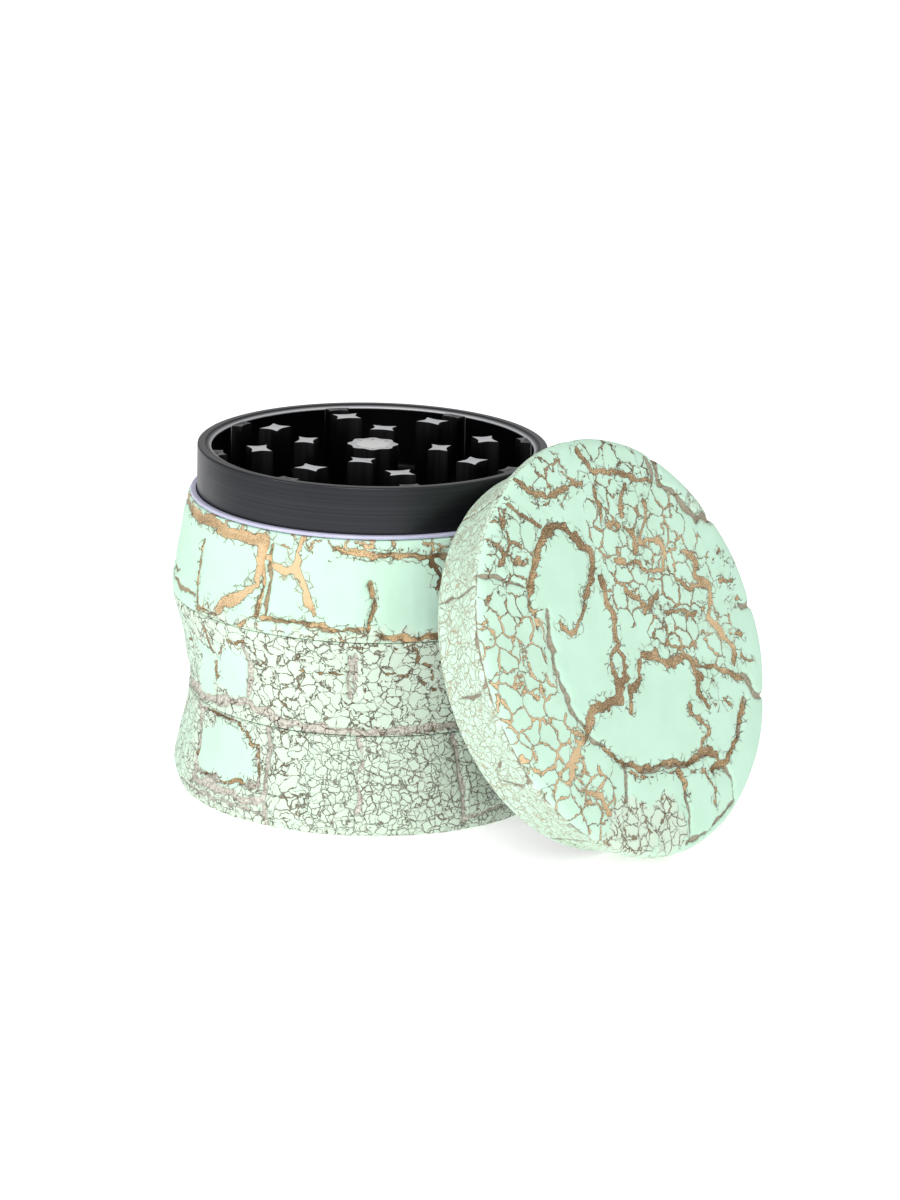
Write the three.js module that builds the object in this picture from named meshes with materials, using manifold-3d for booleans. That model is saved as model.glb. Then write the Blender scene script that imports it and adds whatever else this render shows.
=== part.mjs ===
// Four-piece hand grinder for dried herbs: a stack of three screwed tiers with the lid leaning against it.
// Millimetres. The origin is the bottom centre of the stack, +Z is up, +Y points away from the viewer.
import * as THREE from "three";
import { mergeVertices } from "three/addons/utils/BufferGeometryUtils.js";
import Module from "manifold-3d";

const wasm = await Module();
wasm.setup();

// Heights of the stack
const SEAM_LOW = 15.8; // pollen catcher to sieve chamber
const SEAM_HIGH = 31.7; // sieve chamber to grinding chamber
const SHOULDER_Z = 47.4; // painted top of the grinding chamber
const RIM_Z = 55.5; // top of the collar and of the teeth
const SEAM_GAP = 0.1;

// Threaded joints, cut here as plain spigots with clearance
const SPIGOT_DEPTH = 3.0; // two turns of a 1.5 mm thread
const THREAD_GAP = 0.3;
const LOW_SPIGOT_R = 26.5;
const HIGH_SPIGOT_R = 27.3;

// Grinding bowl
const COLLAR_R = 27.8;
const BOWL_R = 25.6;
const BOWL_FLOOR_Z = 45.0;
const PLATE_BOTTOM_Z = 42.4;
const HOLE_R = 1.8;
const POST_R = 3.8;
const LOBE_DROP = 0.9; // wall lobes stop this far below the rim

// Teeth: concave four-pointed prisms
const TOOTH_RADIAL = 3.5;
const TOOTH_TANGENTIAL = 4.2;
const TOOTH_HOLLOW = 0.5;
const OUTER_RING = { radius: 18.4, count: 8, phase: 14.5 };
const INNER_RING = { radius: 10.7, count: 4, phase: -8 };
const WALL_LOBES = { radius: 25.6, count: 8, phase: 14.5 };

// Magnets
const MAGNET_R = 2.7;
const MAGNET_H = 2.0;
const MAGNET_GAP = 0.15;

// Lid, in its own frame: rim plane at 0, +Z out through the painted face
const LID_RIM_R = 30.1;
const LID_MAX_R = 32.9;
const LID_BORE_R = 28.15;
const LID_DEPTH = 9.4;
const LID_TOP = 12.6;
const LID_TEETH_FROM = 0.5;
const LID_BOSS_R = 4.2;
const LID_BOSS_FROM = 7.6;
const LID_OUTER_RING = { radius: 14.35, count: 8, phase: 0 };
const LID_INNER_RING = { radius: 7.0, count: 4, phase: 20 };

// Where the lid leans
const LID_TILT = 23.0; // degrees that its face looks up from the horizontal
const LID_TURN = -39.2; // heading of its face from +X
const LID_REACH = 40.2; // rim centre from the stack's axis, along that heading
const LID_SIDE = 1.3; // rim centre to the left of that heading
const LID_HEIGHT = 27.71; // rim centre above the floor

const SEGMENTS = 48;

/** A standard material. */
function finish(color, roughness, metalness) {
  return new THREE.MeshStandardMaterial({ color, roughness, metalness });
}

const painted = () => finish(0xc8f0dc, 0.5, 0.1);
const magnetic = () => finish(0xd8d8d8, 0.25, 1.0);

/** A solid of revolution about Z from [radius, z] points that close on the axis or on themselves. */
function turned(profile) {
  const points = profile.map(([r, z]) => new THREE.Vector2(r, z));
  const geometry = new THREE.LatheGeometry(points, SEGMENTS);
  geometry.rotateX(Math.PI / 2);
  return geometry;
}

/** Closed solid of a geometry for adding and cutting. */
function solid(geometry) {
  const bare = geometry.clone();
  bare.deleteAttribute("normal");
  bare.deleteAttribute("uv");
  const merged = mergeVertices(bare, 1e-4);
  const mesh = new wasm.Mesh({
    numProp: 3,
    vertProperties: new Float32Array(merged.attributes.position.array),
    triVerts: new Uint32Array(merged.index.array),
  });
  return new wasm.Manifold(mesh);
}

/** Geometry of a closed solid. */
function surface(body) {
  const mesh = body.getMesh();
  const geometry = new THREE.BufferGeometry();
  geometry.setAttribute("position", new THREE.BufferAttribute(mesh.vertProperties, 3));
  geometry.setIndex(new THREE.BufferAttribute(mesh.triVerts, 1));
  return geometry;
}

/** Outline of a tooth: a rectangle with hollow sides, x radial and y tangential. */
function toothOutline(radial, tangential, hollow) {
  const a = radial / 2;
  const b = tangential / 2;
  const shape = new THREE.Shape();
  shape.moveTo(a, b);
  shape.quadraticCurveTo(0, b - 2 * hollow, -a, b);
  shape.quadraticCurveTo(-a + 2 * hollow, 0, -a, -b);
  shape.quadraticCurveTo(0, -b + 2 * hollow, a, -b);
  shape.quadraticCurveTo(a - 2 * hollow, 0, a, b);
  return shape;
}

/** Prism of an outline from one height to another. */
function prism(shape, from, to, curveSegments = 4) {
  const geometry = new THREE.ExtrudeGeometry(shape, { depth: to - from, bevelEnabled: false, curveSegments });
  geometry.translate(0, 0, from);
  return geometry;
}

/** Copies of a solid placed around the axis. */
function around(body, { radius, count, phase }) {
  const copies = [];
  for (let i = 0; i < count; i += 1) {
    const angle = phase + (360 / count) * i;
    copies.push(body.translate([radius, 0, 0]).rotate([0, 0, angle]));
  }
  return copies;
}

/** One tooth between two heights. */
function tooth(from, to) {
  return solid(prism(toothOutline(TOOTH_RADIAL, TOOTH_TANGENTIAL, TOOTH_HOLLOW), from, to));
}

/** Half tooth that grows out of the bowl's wall. */
function wallLobe(from, to) {
  const shape = new THREE.Shape();
  shape.moveTo(0.9, -3.0);
  shape.quadraticCurveTo(-0.6, -2.1, -1.8, -1.6);
  shape.quadraticCurveTo(-1.5, 0, -1.8, 1.6);
  shape.quadraticCurveTo(-0.6, 2.1, 0.9, 3.0);
  return solid(prism(shape, from, to));
}

/** Centre post with a scalloped outline. */
function centrePost(from, to) {
  const shape = new THREE.Shape();
  const steps = 48;
  for (let i = 0; i < steps; i += 1) {
    const angle = (i / steps) * 2 * Math.PI;
    const r = POST_R + 0.28 * Math.cos(8 * angle);
    if (i === 0) shape.moveTo(r, 0);
    else shape.lineTo(r * Math.cos(angle), r * Math.sin(angle));
  }
  return solid(prism(shape, from, to));
}

/** Round drill from one height to another. */
function drill(radius, from, to, sides = 12) {
  const geometry = new THREE.CylinderGeometry(radius, radius, to - from, sides);
  geometry.rotateX(Math.PI / 2);
  geometry.translate(0, 0, (from + to) / 2);
  return solid(geometry);
}

/** Lower tier: a closed bowl. */
function pollenCatcher() {
  const top = SEAM_LOW - SEAM_GAP / 2;
  const socket = LOW_SPIGOT_R + THREAD_GAP;
  const profile = [
    [0, 0],
    [30.0, 0],
    [30.5, 0.5],
    [31.0, 2.4],
    [31.1, 3.8],
    [30.7, 6.2],
    [29.9, 9.8],
    [29.2, 12.8],
    [28.95, 14.4],
    [28.9, top],
    [socket, top],
    [socket, SEAM_LOW - SPIGOT_DEPTH - 0.4],
    [25.6, SEAM_LOW - SPIGOT_DEPTH - 0.4],
    [25.6, 6.4],
    [24.6, 4.0],
    [22.4, 2.6],
    [19.0, 2.2],
    [0, 2.2],
  ];
  return new THREE.Mesh(turned(profile), painted());
}

/** Middle tier: holds the screen and screws into the lower tier. */
function sieveChamber() {
  const bottom = SEAM_LOW + SEAM_GAP / 2;
  const top = SEAM_HIGH - SEAM_GAP / 2;
  const socket = HIGH_SPIGOT_R + THREAD_GAP;
  const foot = SEAM_LOW - SPIGOT_DEPTH;
  const profile = [
    [23.2, foot],
    [LOW_SPIGOT_R, foot],
    [LOW_SPIGOT_R, bottom],
    [28.8, bottom],
    [28.8, 18.2],
    [29.4, 21.4],
    [29.9, 25.2],
    [30.8, 28.6],
    [31.4, 30.8],
    [31.5, top],
    [socket, top],
    [socket, SEAM_HIGH - SPIGOT_DEPTH - 0.4],
    [25.8, SEAM_HIGH - SPIGOT_DEPTH - 0.4],
    [25.8, 18.0],
    [23.2, 17.2],
    [23.2, foot],
  ];
  return new THREE.Mesh(turned(profile), painted());
}

/** Stainless screen, a thin disc on the middle tier's ledge. */
function sieveScreen() {
  const profile = [
    [0, 18.1],
    [25.6, 18.1],
    [25.6, 18.4],
    [0, 18.4],
  ];
  return new THREE.Mesh(turned(profile), finish(0xb8bcc0, 0.35, 1.0));
}

/** Ring that presses the screen onto its ledge. */
function retainingRing() {
  const profile = [
    [24.0, 18.45],
    [25.6, 18.45],
    [25.6, 19.9],
    [25.3, 20.2],
    [24.3, 20.2],
    [24.0, 19.9],
    [24.0, 18.45],
  ];
  return new THREE.Mesh(turned(profile), finish(0xa8acb0, 0.3, 1.0));
}

/** Upper tier with collar, bowl, drop holes, post and teeth. */
function grindingChamber() {
  const bottom = SEAM_HIGH + SEAM_GAP / 2;
  const foot = SEAM_HIGH - SPIGOT_DEPTH;
  const profile = [
    [0, PLATE_BOTTOM_Z],
    [24.2, PLATE_BOTTOM_Z],
    [25.0, PLATE_BOTTOM_Z - 1.2],
    [25.0, foot],
    [HIGH_SPIGOT_R, foot],
    [HIGH_SPIGOT_R, bottom],
    [31.6, bottom],
    [31.7, 33.8],
    [31.2, 36.6],
    [30.4, 40.6],
    [29.9, 43.6],
    [29.5, 46.6],
    [29.2, SHOULDER_Z],
    [COLLAR_R, SHOULDER_Z],
    [COLLAR_R, RIM_Z - 0.3],
    [COLLAR_R - 0.3, RIM_Z],
    [BOWL_R + 1.0, RIM_Z],
    [BOWL_R, RIM_Z - 0.4],
    [BOWL_R, BOWL_FLOOR_Z + 0.8],
    [BOWL_R - 0.8, BOWL_FLOOR_Z],
    [0, BOWL_FLOOR_Z],
  ];
  const toothFoot = BOWL_FLOOR_Z - 1;
  const additions = [
    ...around(tooth(toothFoot, RIM_Z), OUTER_RING),
    ...around(tooth(toothFoot, RIM_Z), INNER_RING),
    ...around(wallLobe(toothFoot, RIM_Z - LOBE_DROP), WALL_LOBES),
    centrePost(toothFoot, RIM_Z),
  ];
  const hole = drill(HOLE_R, PLATE_BOTTOM_Z - 1, BOWL_FLOOR_Z + 1);
  const cuts = [
    ...around(hole, { radius: 18.6, count: 8, phase: OUTER_RING.phase + 22.5 }),
    ...around(hole, { radius: 14.3, count: 8, phase: OUTER_RING.phase + 11.25 }),
    ...around(hole, { radius: 9.6, count: 4, phase: INNER_RING.phase + 45 }),
    ...around(drill(1.4, PLATE_BOTTOM_Z - 1, BOWL_FLOOR_Z + 1), { radius: 22.6, count: 8, phase: 37 }),
    drill(MAGNET_R + MAGNET_GAP, RIM_Z - MAGNET_H - MAGNET_GAP, RIM_Z + 1, 48),
  ];
  const body = wasm.Manifold.union([solid(turned(profile)), ...additions]);
  const cut = body.subtract(wasm.Manifold.union(cuts));
  return new THREE.Mesh(surface(cut), finish(0x2a2c30, 0.35, 0.8));
}

/** Nylon ring that the lid's rim turns on. */
function frictionRing() {
  const profile = [
    [COLLAR_R + 0.15, SHOULDER_Z + 0.05],
    [28.75, SHOULDER_Z + 0.05],
    [28.9, SHOULDER_Z + 0.35],
    [28.75, SHOULDER_Z + 0.7],
    [COLLAR_R + 0.15, SHOULDER_Z + 0.7],
    [COLLAR_R + 0.15, SHOULDER_Z + 0.05],
  ];
  return new THREE.Mesh(turned(profile), finish(0xf0f0fa, 0.4, 0.0));
}

/** Disc magnet with its lower face at a height. */
function magnet(from) {
  const geometry = new THREE.CylinderGeometry(MAGNET_R, MAGNET_R, MAGNET_H, 48);
  geometry.rotateX(Math.PI / 2);
  geometry.translate(0, 0, from + MAGNET_H / 2);
  return new THREE.Mesh(geometry, magnetic());
}

/** Lid in its own frame. */
function lid() {
  const profile = [
    [0, LID_DEPTH],
    [LID_BORE_R - 0.8, LID_DEPTH],
    [LID_BORE_R, LID_DEPTH - 0.8],
    [LID_BORE_R, 0.4],
    [LID_BORE_R + 0.4, 0],
    [LID_RIM_R - 0.3, 0],
    [LID_RIM_R, 0.3],
    [30.7, 2.4],
    [31.7, 6.2],
    [32.7, 9.4],
    [LID_MAX_R, 10.3],
    [32.7, 11.1],
    [32.0, 11.6],
    [24.0, 12.4],
    [21.0, LID_TOP],
    [0, LID_TOP],
  ];
  const additions = [
    ...around(tooth(LID_TEETH_FROM, LID_DEPTH + 1), LID_OUTER_RING),
    ...around(tooth(LID_TEETH_FROM, LID_DEPTH + 1), LID_INNER_RING),
    drill(LID_BOSS_R, LID_BOSS_FROM, LID_DEPTH + 1, 48),
  ];
  const pocket = drill(MAGNET_R + MAGNET_GAP, LID_BOSS_FROM - 1, LID_BOSS_FROM + MAGNET_H + MAGNET_GAP, 48);
  const body = wasm.Manifold.union([solid(turned(profile)), ...additions]).subtract(pocket);
  return new THREE.Mesh(surface(body), painted());
}

/** Group that leans on the stack, holding the lid and its magnet. */
function leaningLid() {
  const group = new THREE.Group();
  const tilt = THREE.MathUtils.degToRad(LID_TILT);
  const turn = THREE.MathUtils.degToRad(LID_TURN);
  const out = new THREE.Vector3(Math.cos(turn) * Math.cos(tilt), Math.sin(turn) * Math.cos(tilt), Math.sin(tilt));
  const across = new THREE.Vector3(-Math.sin(turn), Math.cos(turn), 0);
  const rise = new THREE.Vector3().crossVectors(out, across);
  group.setRotationFromMatrix(new THREE.Matrix4().makeBasis(across, rise, out));
  const centre = new THREE.Vector3(Math.cos(turn), Math.sin(turn), 0).multiplyScalar(LID_REACH);
  centre.addScaledVector(across, LID_SIDE).setZ(LID_HEIGHT);
  group.position.copy(centre);
  group.add(named("lid", lid()));
  group.add(named("lid_magnet", magnet(LID_BOSS_FROM)));
  return group;
}

/** Gives a mesh its name. */
function named(name, mesh) {
  mesh.name = name;
  return mesh;
}

const grinder = new THREE.Group();
grinder.name = "herb_grinder";
grinder.add(named("pollen_catcher", pollenCatcher()));
grinder.add(named("sieve_chamber", sieveChamber()));
grinder.add(named("sieve_screen", sieveScreen()));
grinder.add(named("screen_retaining_ring", retainingRing()));
grinder.add(named("grinding_chamber", grindingChamber()));
grinder.add(named("friction_ring", frictionRing()));
grinder.add(named("chamber_magnet", magnet(RIM_Z - MAGNET_H)));
grinder.add(leaningLid());

export default grinder;
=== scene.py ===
"""Four-piece herb grinder: stone blocks under crackled mint paint, black inside, its lid leaning on the stack."""

import logging
import math
from dataclasses import dataclass, replace
from enum import Enum
from typing import Callable, Sequence

import bmesh
import bpy
import numpy as np
from mathutils import Matrix, Vector


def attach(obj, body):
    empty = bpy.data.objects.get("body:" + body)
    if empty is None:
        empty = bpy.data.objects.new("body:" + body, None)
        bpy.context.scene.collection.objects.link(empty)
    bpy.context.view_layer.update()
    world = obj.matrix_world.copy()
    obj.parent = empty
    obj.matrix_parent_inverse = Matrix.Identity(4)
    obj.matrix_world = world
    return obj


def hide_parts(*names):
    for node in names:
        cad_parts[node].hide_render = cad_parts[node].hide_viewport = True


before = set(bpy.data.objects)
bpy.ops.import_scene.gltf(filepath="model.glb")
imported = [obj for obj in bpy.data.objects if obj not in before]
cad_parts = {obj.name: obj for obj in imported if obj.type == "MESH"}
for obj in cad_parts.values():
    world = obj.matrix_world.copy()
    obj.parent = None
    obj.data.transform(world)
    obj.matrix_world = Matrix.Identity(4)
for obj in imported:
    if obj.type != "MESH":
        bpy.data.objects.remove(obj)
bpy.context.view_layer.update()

log = logging.getLogger("herb_grinder")

MM = 0.001
CRISP = 38.0  # degrees: sharper edges of bare metal stay crisp
CRISP_PAINT = 62.0  # the same for painted stone, whose relief stays soft
THREAD_PITCH = 1.5
THREAD_TURNS = 1.25
THREAD_HEIGHT = 0.2

Point = tuple[float, float]
Corner = tuple[float, float, float]
Colour = tuple[float, float, float, float]
Shell = bmesh.types.BMesh
Piece = bpy.types.Object
Socket = bpy.types.NodeSocket
Input = Socket | float | Colour


# ---- shape tools


def ripple(places: np.ndarray, seed: int, wavelength: float, waves: int = 7) -> np.ndarray:
    """Smooth, repeatable unevenness made of a few sine waves in space.

    Args:
        places: points in millimetres, one a row.
        seed: which unevenness this is.
        wavelength: typical distance between bumps, in millimetres.
        waves: how many sine waves are added.

    Returns:
        One value from about -1 to 1 for each point.
    """
    dice = np.random.default_rng(seed)
    aims = dice.normal(size=(waves, 3))
    aims /= np.linalg.norm(aims, axis=1)[:, None]
    aims = aims * (math.tau / wavelength) * dice.uniform(0.6, 1.6, size=(waves, 1))
    starts = dice.uniform(0.0, math.tau, size=waves)
    return np.sin(places @ aims.T + starts).sum(axis=1) / math.sqrt(waves * 1.2)


def smooth(low: float, high: float, value: np.ndarray) -> np.ndarray:
    """Smooth step from 0 at low to 1 at high."""
    t = np.clip((value - low) / (high - low), 0.0, 1.0)
    return t * t * (3.0 - 2.0 * t)


def spun(outline: Sequence[Corner], steps: int, closed: bool = True) -> Shell:
    """Turns an outline round the Z axis.

    Args:
        outline: corners as radius, height and fillet radius, in millimetres.
        steps: faces around the axis.
        closed: whether the last corner joins the first.

    Returns:
        The turned shell in metres, with its faces pointing out.
    """
    shell = bmesh.new()
    corners = [shell.verts.new((r * MM, 0.0, z * MM)) for r, z, _ in outline]
    for first, second in zip(corners, corners[1:]):
        shell.edges.new((first, second))
    if closed:
        shell.edges.new((corners[-1], corners[0]))
    for fillet in sorted({c[2] for c in outline if c[2] > 0}):
        chosen = [v for v, c in zip(corners, outline) if c[2] == fillet]
        bmesh.ops.bevel(
            shell, geom=chosen, offset=fillet * MM, offset_type="OFFSET", segments=3, profile=0.5,
            affect="VERTICES", material=-1,
        )
    bmesh.ops.spin(
        shell, geom=shell.verts[:] + shell.edges[:], cent=(0, 0, 0), axis=(0, 0, 1), dvec=(0, 0, 0),
        angle=math.tau, steps=steps, use_merge=True,
    )
    bmesh.ops.remove_doubles(shell, verts=shell.verts, dist=2e-6)
    bmesh.ops.recalc_face_normals(shell, faces=shell.faces)
    return shell


def contour(knots: Sequence[Point], step: float) -> list[Point]:
    """Draws a smooth curve through a turned outline's knots.

    Args:
        knots: radius and height of each knot, in millimetres, from one end to the other.
        step: spacing of the drawn points.

    Returns:
        Radius and height of each point.
    """
    spots = np.array(knots, float)
    along = np.concatenate([[0.0], np.cumsum(np.linalg.norm(np.diff(spots, axis=0), axis=1))])
    slope = np.gradient(spots, along, axis=0)
    drawn = []
    for i in range(len(spots) - 1):
        span = along[i + 1] - along[i]
        count = max(1, round(span / step))
        for t in np.arange(count) / count:
            a = (1 + 2 * t) * (1 - t) ** 2
            b = t * (1 - t) ** 2 * span
            c = t * t * (3 - 2 * t)
            d = t * t * (t - 1) * span
            drawn.append(tuple(a * spots[i] + b * slope[i] + c * spots[i + 1] + d * slope[i + 1]))
    drawn.append(tuple(spots[-1]))
    return drawn


def finished(name: str, shell: Shell, place: Matrix = Matrix()) -> Piece:
    """Makes an object of a shell, with its place in its mesh.

    Args:
        name: the piece's name.
        shell: the shape, which is freed.
        place: where the shape goes.

    Returns:
        The new object, linked to the scene.
    """
    shell.transform(place)
    mesh = bpy.data.meshes.new(name)
    shell.to_mesh(mesh)
    shell.free()
    mesh.shade_smooth()
    piece = bpy.data.objects.new(name, mesh)
    bpy.context.scene.collection.objects.link(piece)
    return piece


def settle(piece: Piece, material: bpy.types.Material, body: str, node: str, crisp: float = CRISP) -> None:
    """Gives a piece its finish, rides it on its body and hides the plain solid that it stands for.

    Args:
        piece: the finished piece.
        material: its one material.
        body: the body that it moves with.
        node: the plain solid that it stands for.
        crisp: edges sharper than this angle stay crisp, in degrees.
    """
    piece.data.materials.clear()
    piece.data.materials.append(material)
    piece.data.set_sharp_from_angle(angle=math.radians(crisp))
    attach(piece, body)
    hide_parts(node)
    log.info("%s: %d faces on %s", piece.name, len(piece.data.polygons), body)


def points_of(piece: Piece) -> np.ndarray:
    """Reads the points of a mesh.

    Args:
        piece: the piece to read.

    Returns:
        One point a row, in millimetres.
    """
    flat = np.empty(len(piece.data.vertices) * 3, np.float32)
    piece.data.vertices.foreach_get("co", flat)
    return flat.reshape(-1, 3).astype(float) / MM


def move_points(piece: Piece, spots: np.ndarray) -> None:
    """Puts the points of a mesh at new places, in millimetres."""
    piece.data.vertices.foreach_set("co", (spots * MM).astype(np.float32).ravel())
    piece.data.update()


def mark_points(piece: Piece, name: str, values: np.ndarray) -> None:
    """Keeps one value for each point of a piece as an attribute."""
    layer = piece.data.attributes.new(name, "FLOAT", "POINT")
    layer.data.foreach_set("value", values.astype(np.float32))


# ---- stones, joints and cracks


class Mark(Enum):
    """What a line on the painted surface is, with its half width as a share of the width it is given."""

    JOINT = 0.4
    CRACK = 0.52


class Cover(Enum):
    """How the paint lies on a stone, as strengths of wide, middling and fine crackle."""

    SMOOTH = (0.0, 0.0, 0.0)
    VEINED = (0.7, 0.05, 0.0)
    WIDE = (1.0, 0.07, 0.0)
    CELLS = (0.25, 1.0, 0.0)
    FINE = (0.0, 0.35, 1.0)
    HAIR = (0.0, 0.3, 0.45)


@dataclass(frozen=True)
class Line:
    """A joint between stones or a wide split in the paint, along a path on the surface."""

    mark: Mark
    width: float
    path: tuple[Point, ...]
    depth: float

    def unrolled(self, drum: float) -> "Line":
        """The line with its angles turned into millimetres along a drum of a radius."""
        return replace(self, path=tuple((math.radians(angle) * drum, z) for angle, z in self.path))


@dataclass(frozen=True)
class Patch:
    """A round area with a paint cover of its own, and a tone of its crack ground from -1, dark, to 1, gold, where gold
    is partly painted sheen.
    """

    centre: Point
    radius: float
    cover: Cover
    tone: float = 0.0

    def unrolled(self, drum: float) -> "Patch":
        """The patch with its angle turned into millimetres along a drum of a radius."""
        return replace(self, centre=(math.radians(self.centre[0]) * drum, self.centre[1]))


def joint(width: float, *path: Point, depth: float = 0.5) -> Line:
    """A groove between stones."""
    return Line(Mark.JOINT, width, path, depth)


def crack(width: float, *path: Point) -> Line:
    """A wide split in the paint."""
    return Line(Mark.CRACK, width, path, 0.1)


def nearest(lines: Sequence[Line], across: np.ndarray, up: np.ndarray, wrap: float) -> tuple[np.ndarray, np.ndarray]:
    """Measures how far each point is from the nearest line's edge.

    Args:
        lines: the lines to measure to.
        across: each point's place across the surface, in millimetres.
        up: each point's place up the surface, in millimetres.
        wrap: the surface's length across after which it repeats, or 0.

    Returns:
        The distance outside the edge, negative inside a line, and the depth of that line.
    """
    best = np.full(len(across), 50.0)
    depth = np.zeros(len(across))
    for line in lines:
        for (x0, y0), (x1, y1) in zip(line.path, line.path[1:]):
            dx, dy = x1 - x0, y1 - y0
            px = across - x0
            if wrap:
                px = px - dx / 2
                px = px - wrap * np.round(px / wrap) + dx / 2
            py = up - y0
            t = np.clip((px * dx + py * dy) / max(dx * dx + dy * dy, 1e-9), 0.0, 1.0)
            gap = np.hypot(px - t * dx, py - t * dy) - line.width * line.mark.value
            closer = gap < best
            best = np.where(closer, gap, best)
            depth = np.where(closer, line.depth, depth)
    return best, depth


@dataclass(frozen=True)
class Relief:
    """How far the painted surface stands in and out, in millimetres."""

    waver: float = 0.12  # short wander of the lines, at waver_length
    waver_length: float = 1.6
    wander_length: float = 5.0  # long wander, whose size each surface sets
    uneven_length: float = 3.5  # raggedness of edges
    dip: float = 0.16  # stones sink towards a joint
    dip_reach: float = 0.8
    split: float = 0.07  # depth of a split in the paint
    swell: float = 0.1  # stones are not quite flat
    swell_length: float = 16.0
    grit: float = 0.02
    grit_length: float = 3.0


RELIEF = Relief()


@dataclass
class StoneWork:
    """The stones of one painted surface and how the paint lies on them.

    On a drum, places across are angles from the front in degrees; on a flat face they are millimetres.
    """

    lines: Sequence[Line]
    base: Cover
    patches: Sequence[Patch]
    seed: int
    drum: float = 0.0
    tone: float = 0.0
    wobble: float = 0.35

    def __post_init__(self) -> None:
        """Turns angles into millimetres along the drum."""
        if self.drum:
            self.lines = [line.unrolled(self.drum) for line in self.lines]
            self.patches = [patch.unrolled(self.drum) for patch in self.patches]

    def read(self, across: np.ndarray, up: np.ndarray, places: np.ndarray) -> dict[str, np.ndarray]:
        """Works out the relief and the paint at each point.

        Args:
            across: place across the surface, in millimetres.
            up: place up the surface, in millimetres.
            places: the points in space, in millimetres.

        Returns:
            relief in millimetres, joint and crack distances, and the cover strengths with a tone that is partly
            painted sheen.
        """

        def own(turn: int, wavelength: float) -> np.ndarray:
            """This surface's own unevenness at the points."""
            return ripple(places, self.seed + turn, wavelength)

        wrap = math.tau * self.drum
        x = across + self.wobble * own(0, RELIEF.wander_length) + RELIEF.waver * own(1, RELIEF.waver_length)
        y = up + self.wobble * own(2, RELIEF.wander_length) + RELIEF.waver * own(3, RELIEF.waver_length)
        uneven = own(4, RELIEF.uneven_length)
        cut, depth = nearest([line for line in self.lines if line.mark is Mark.JOINT], x, y, wrap)
        split, _ = nearest([line for line in self.lines if line.mark is Mark.CRACK], x, y, wrap)
        cut = cut - 0.14 * uneven
        split = split + 0.16 * uneven
        relief = -depth * (1.0 - smooth(-0.35, 0.3, cut))
        relief -= RELIEF.dip * np.exp(-np.clip(cut, 0.0, None) / RELIEF.dip_reach)
        relief -= RELIEF.split * (1.0 - smooth(-0.12, 0.12, split))
        relief += RELIEF.swell * own(5, RELIEF.swell_length) + RELIEF.grit * own(6, RELIEF.grit_length)
        # the fourth value sets the crack ground's gold, which is partly painted sheen
        cover = np.tile(np.array((*self.base.value, self.tone)), (len(x), 1))
        for patch in self.patches:
            px = x - patch.centre[0]
            if wrap:
                px = px - wrap * np.round(px / wrap)
            away = np.hypot(px, y - patch.centre[1]) - patch.radius
            share = (1.0 - smooth(-0.9, 0.9, away + 0.8 * uneven))[:, None]
            cover = cover * (1 - share) + np.array((*patch.cover.value, patch.tone)) * share
        return {"relief": relief, "joint": cut, "crack": split, "cover": cover}


def store(piece: Piece, facts: dict[str, np.ndarray]) -> None:
    """Keeps what the paint needs as attributes of a piece's points.

    Args:
        piece: the painted piece.
        facts: joint, crack and cover for each point.
    """
    for name in ("joint", "crack"):
        mark_points(piece, name, np.clip(facts[name], -3.0, 3.0))
    layer = piece.data.attributes.new("cover", "FLOAT_COLOR", "POINT")
    layer.data.foreach_set("color", facts["cover"].astype(np.float32).ravel())


def far_side(seed: int, first: float, last: float, pitch: float, low: float, high: float) -> list[Line]:
    """Stones for the far side of a tier.

    Args:
        seed: which arrangement this is.
        first: angle from the front where they start, in degrees.
        last: angle where they end.
        pitch: typical width of a stone, in degrees.
        low: height of the lowest joint.
        high: height of the highest.

    Returns:
        Upright joints with a few flat ones between them, and some gold cracks.
    """
    dice = np.random.default_rng(seed)
    made: list[Line] = []
    at = first
    while at < last:
        lean = dice.uniform(-1.5, 1.5)
        middle = (low + high) / 2 + dice.uniform(-1.5, 1.5)
        made.append(joint(dice.uniform(0.8, 1.4), (at, low), (at + lean, middle), (at - lean / 2, high)))
        wide = pitch * dice.uniform(0.8, 1.25)
        level = low + dice.uniform(1.2, 2.6)
        if dice.random() < 0.6:
            made.append(joint(dice.uniform(0.6, 1.1), (at, level), (at + wide, level + dice.uniform(-0.5, 0.5))))
        if dice.random() < 0.55:
            start = at + wide * dice.uniform(0.2, 0.8)
            drop = high - dice.uniform(3.0, 6.0)
            width = dice.uniform(0.4, 0.9)
            bend = (start + dice.uniform(-5, 5), drop + 1.5)
            made.append(crack(width, (start, high), bend, (start + dice.uniform(-8, 8), drop)))
        at += wide
    return made


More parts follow.
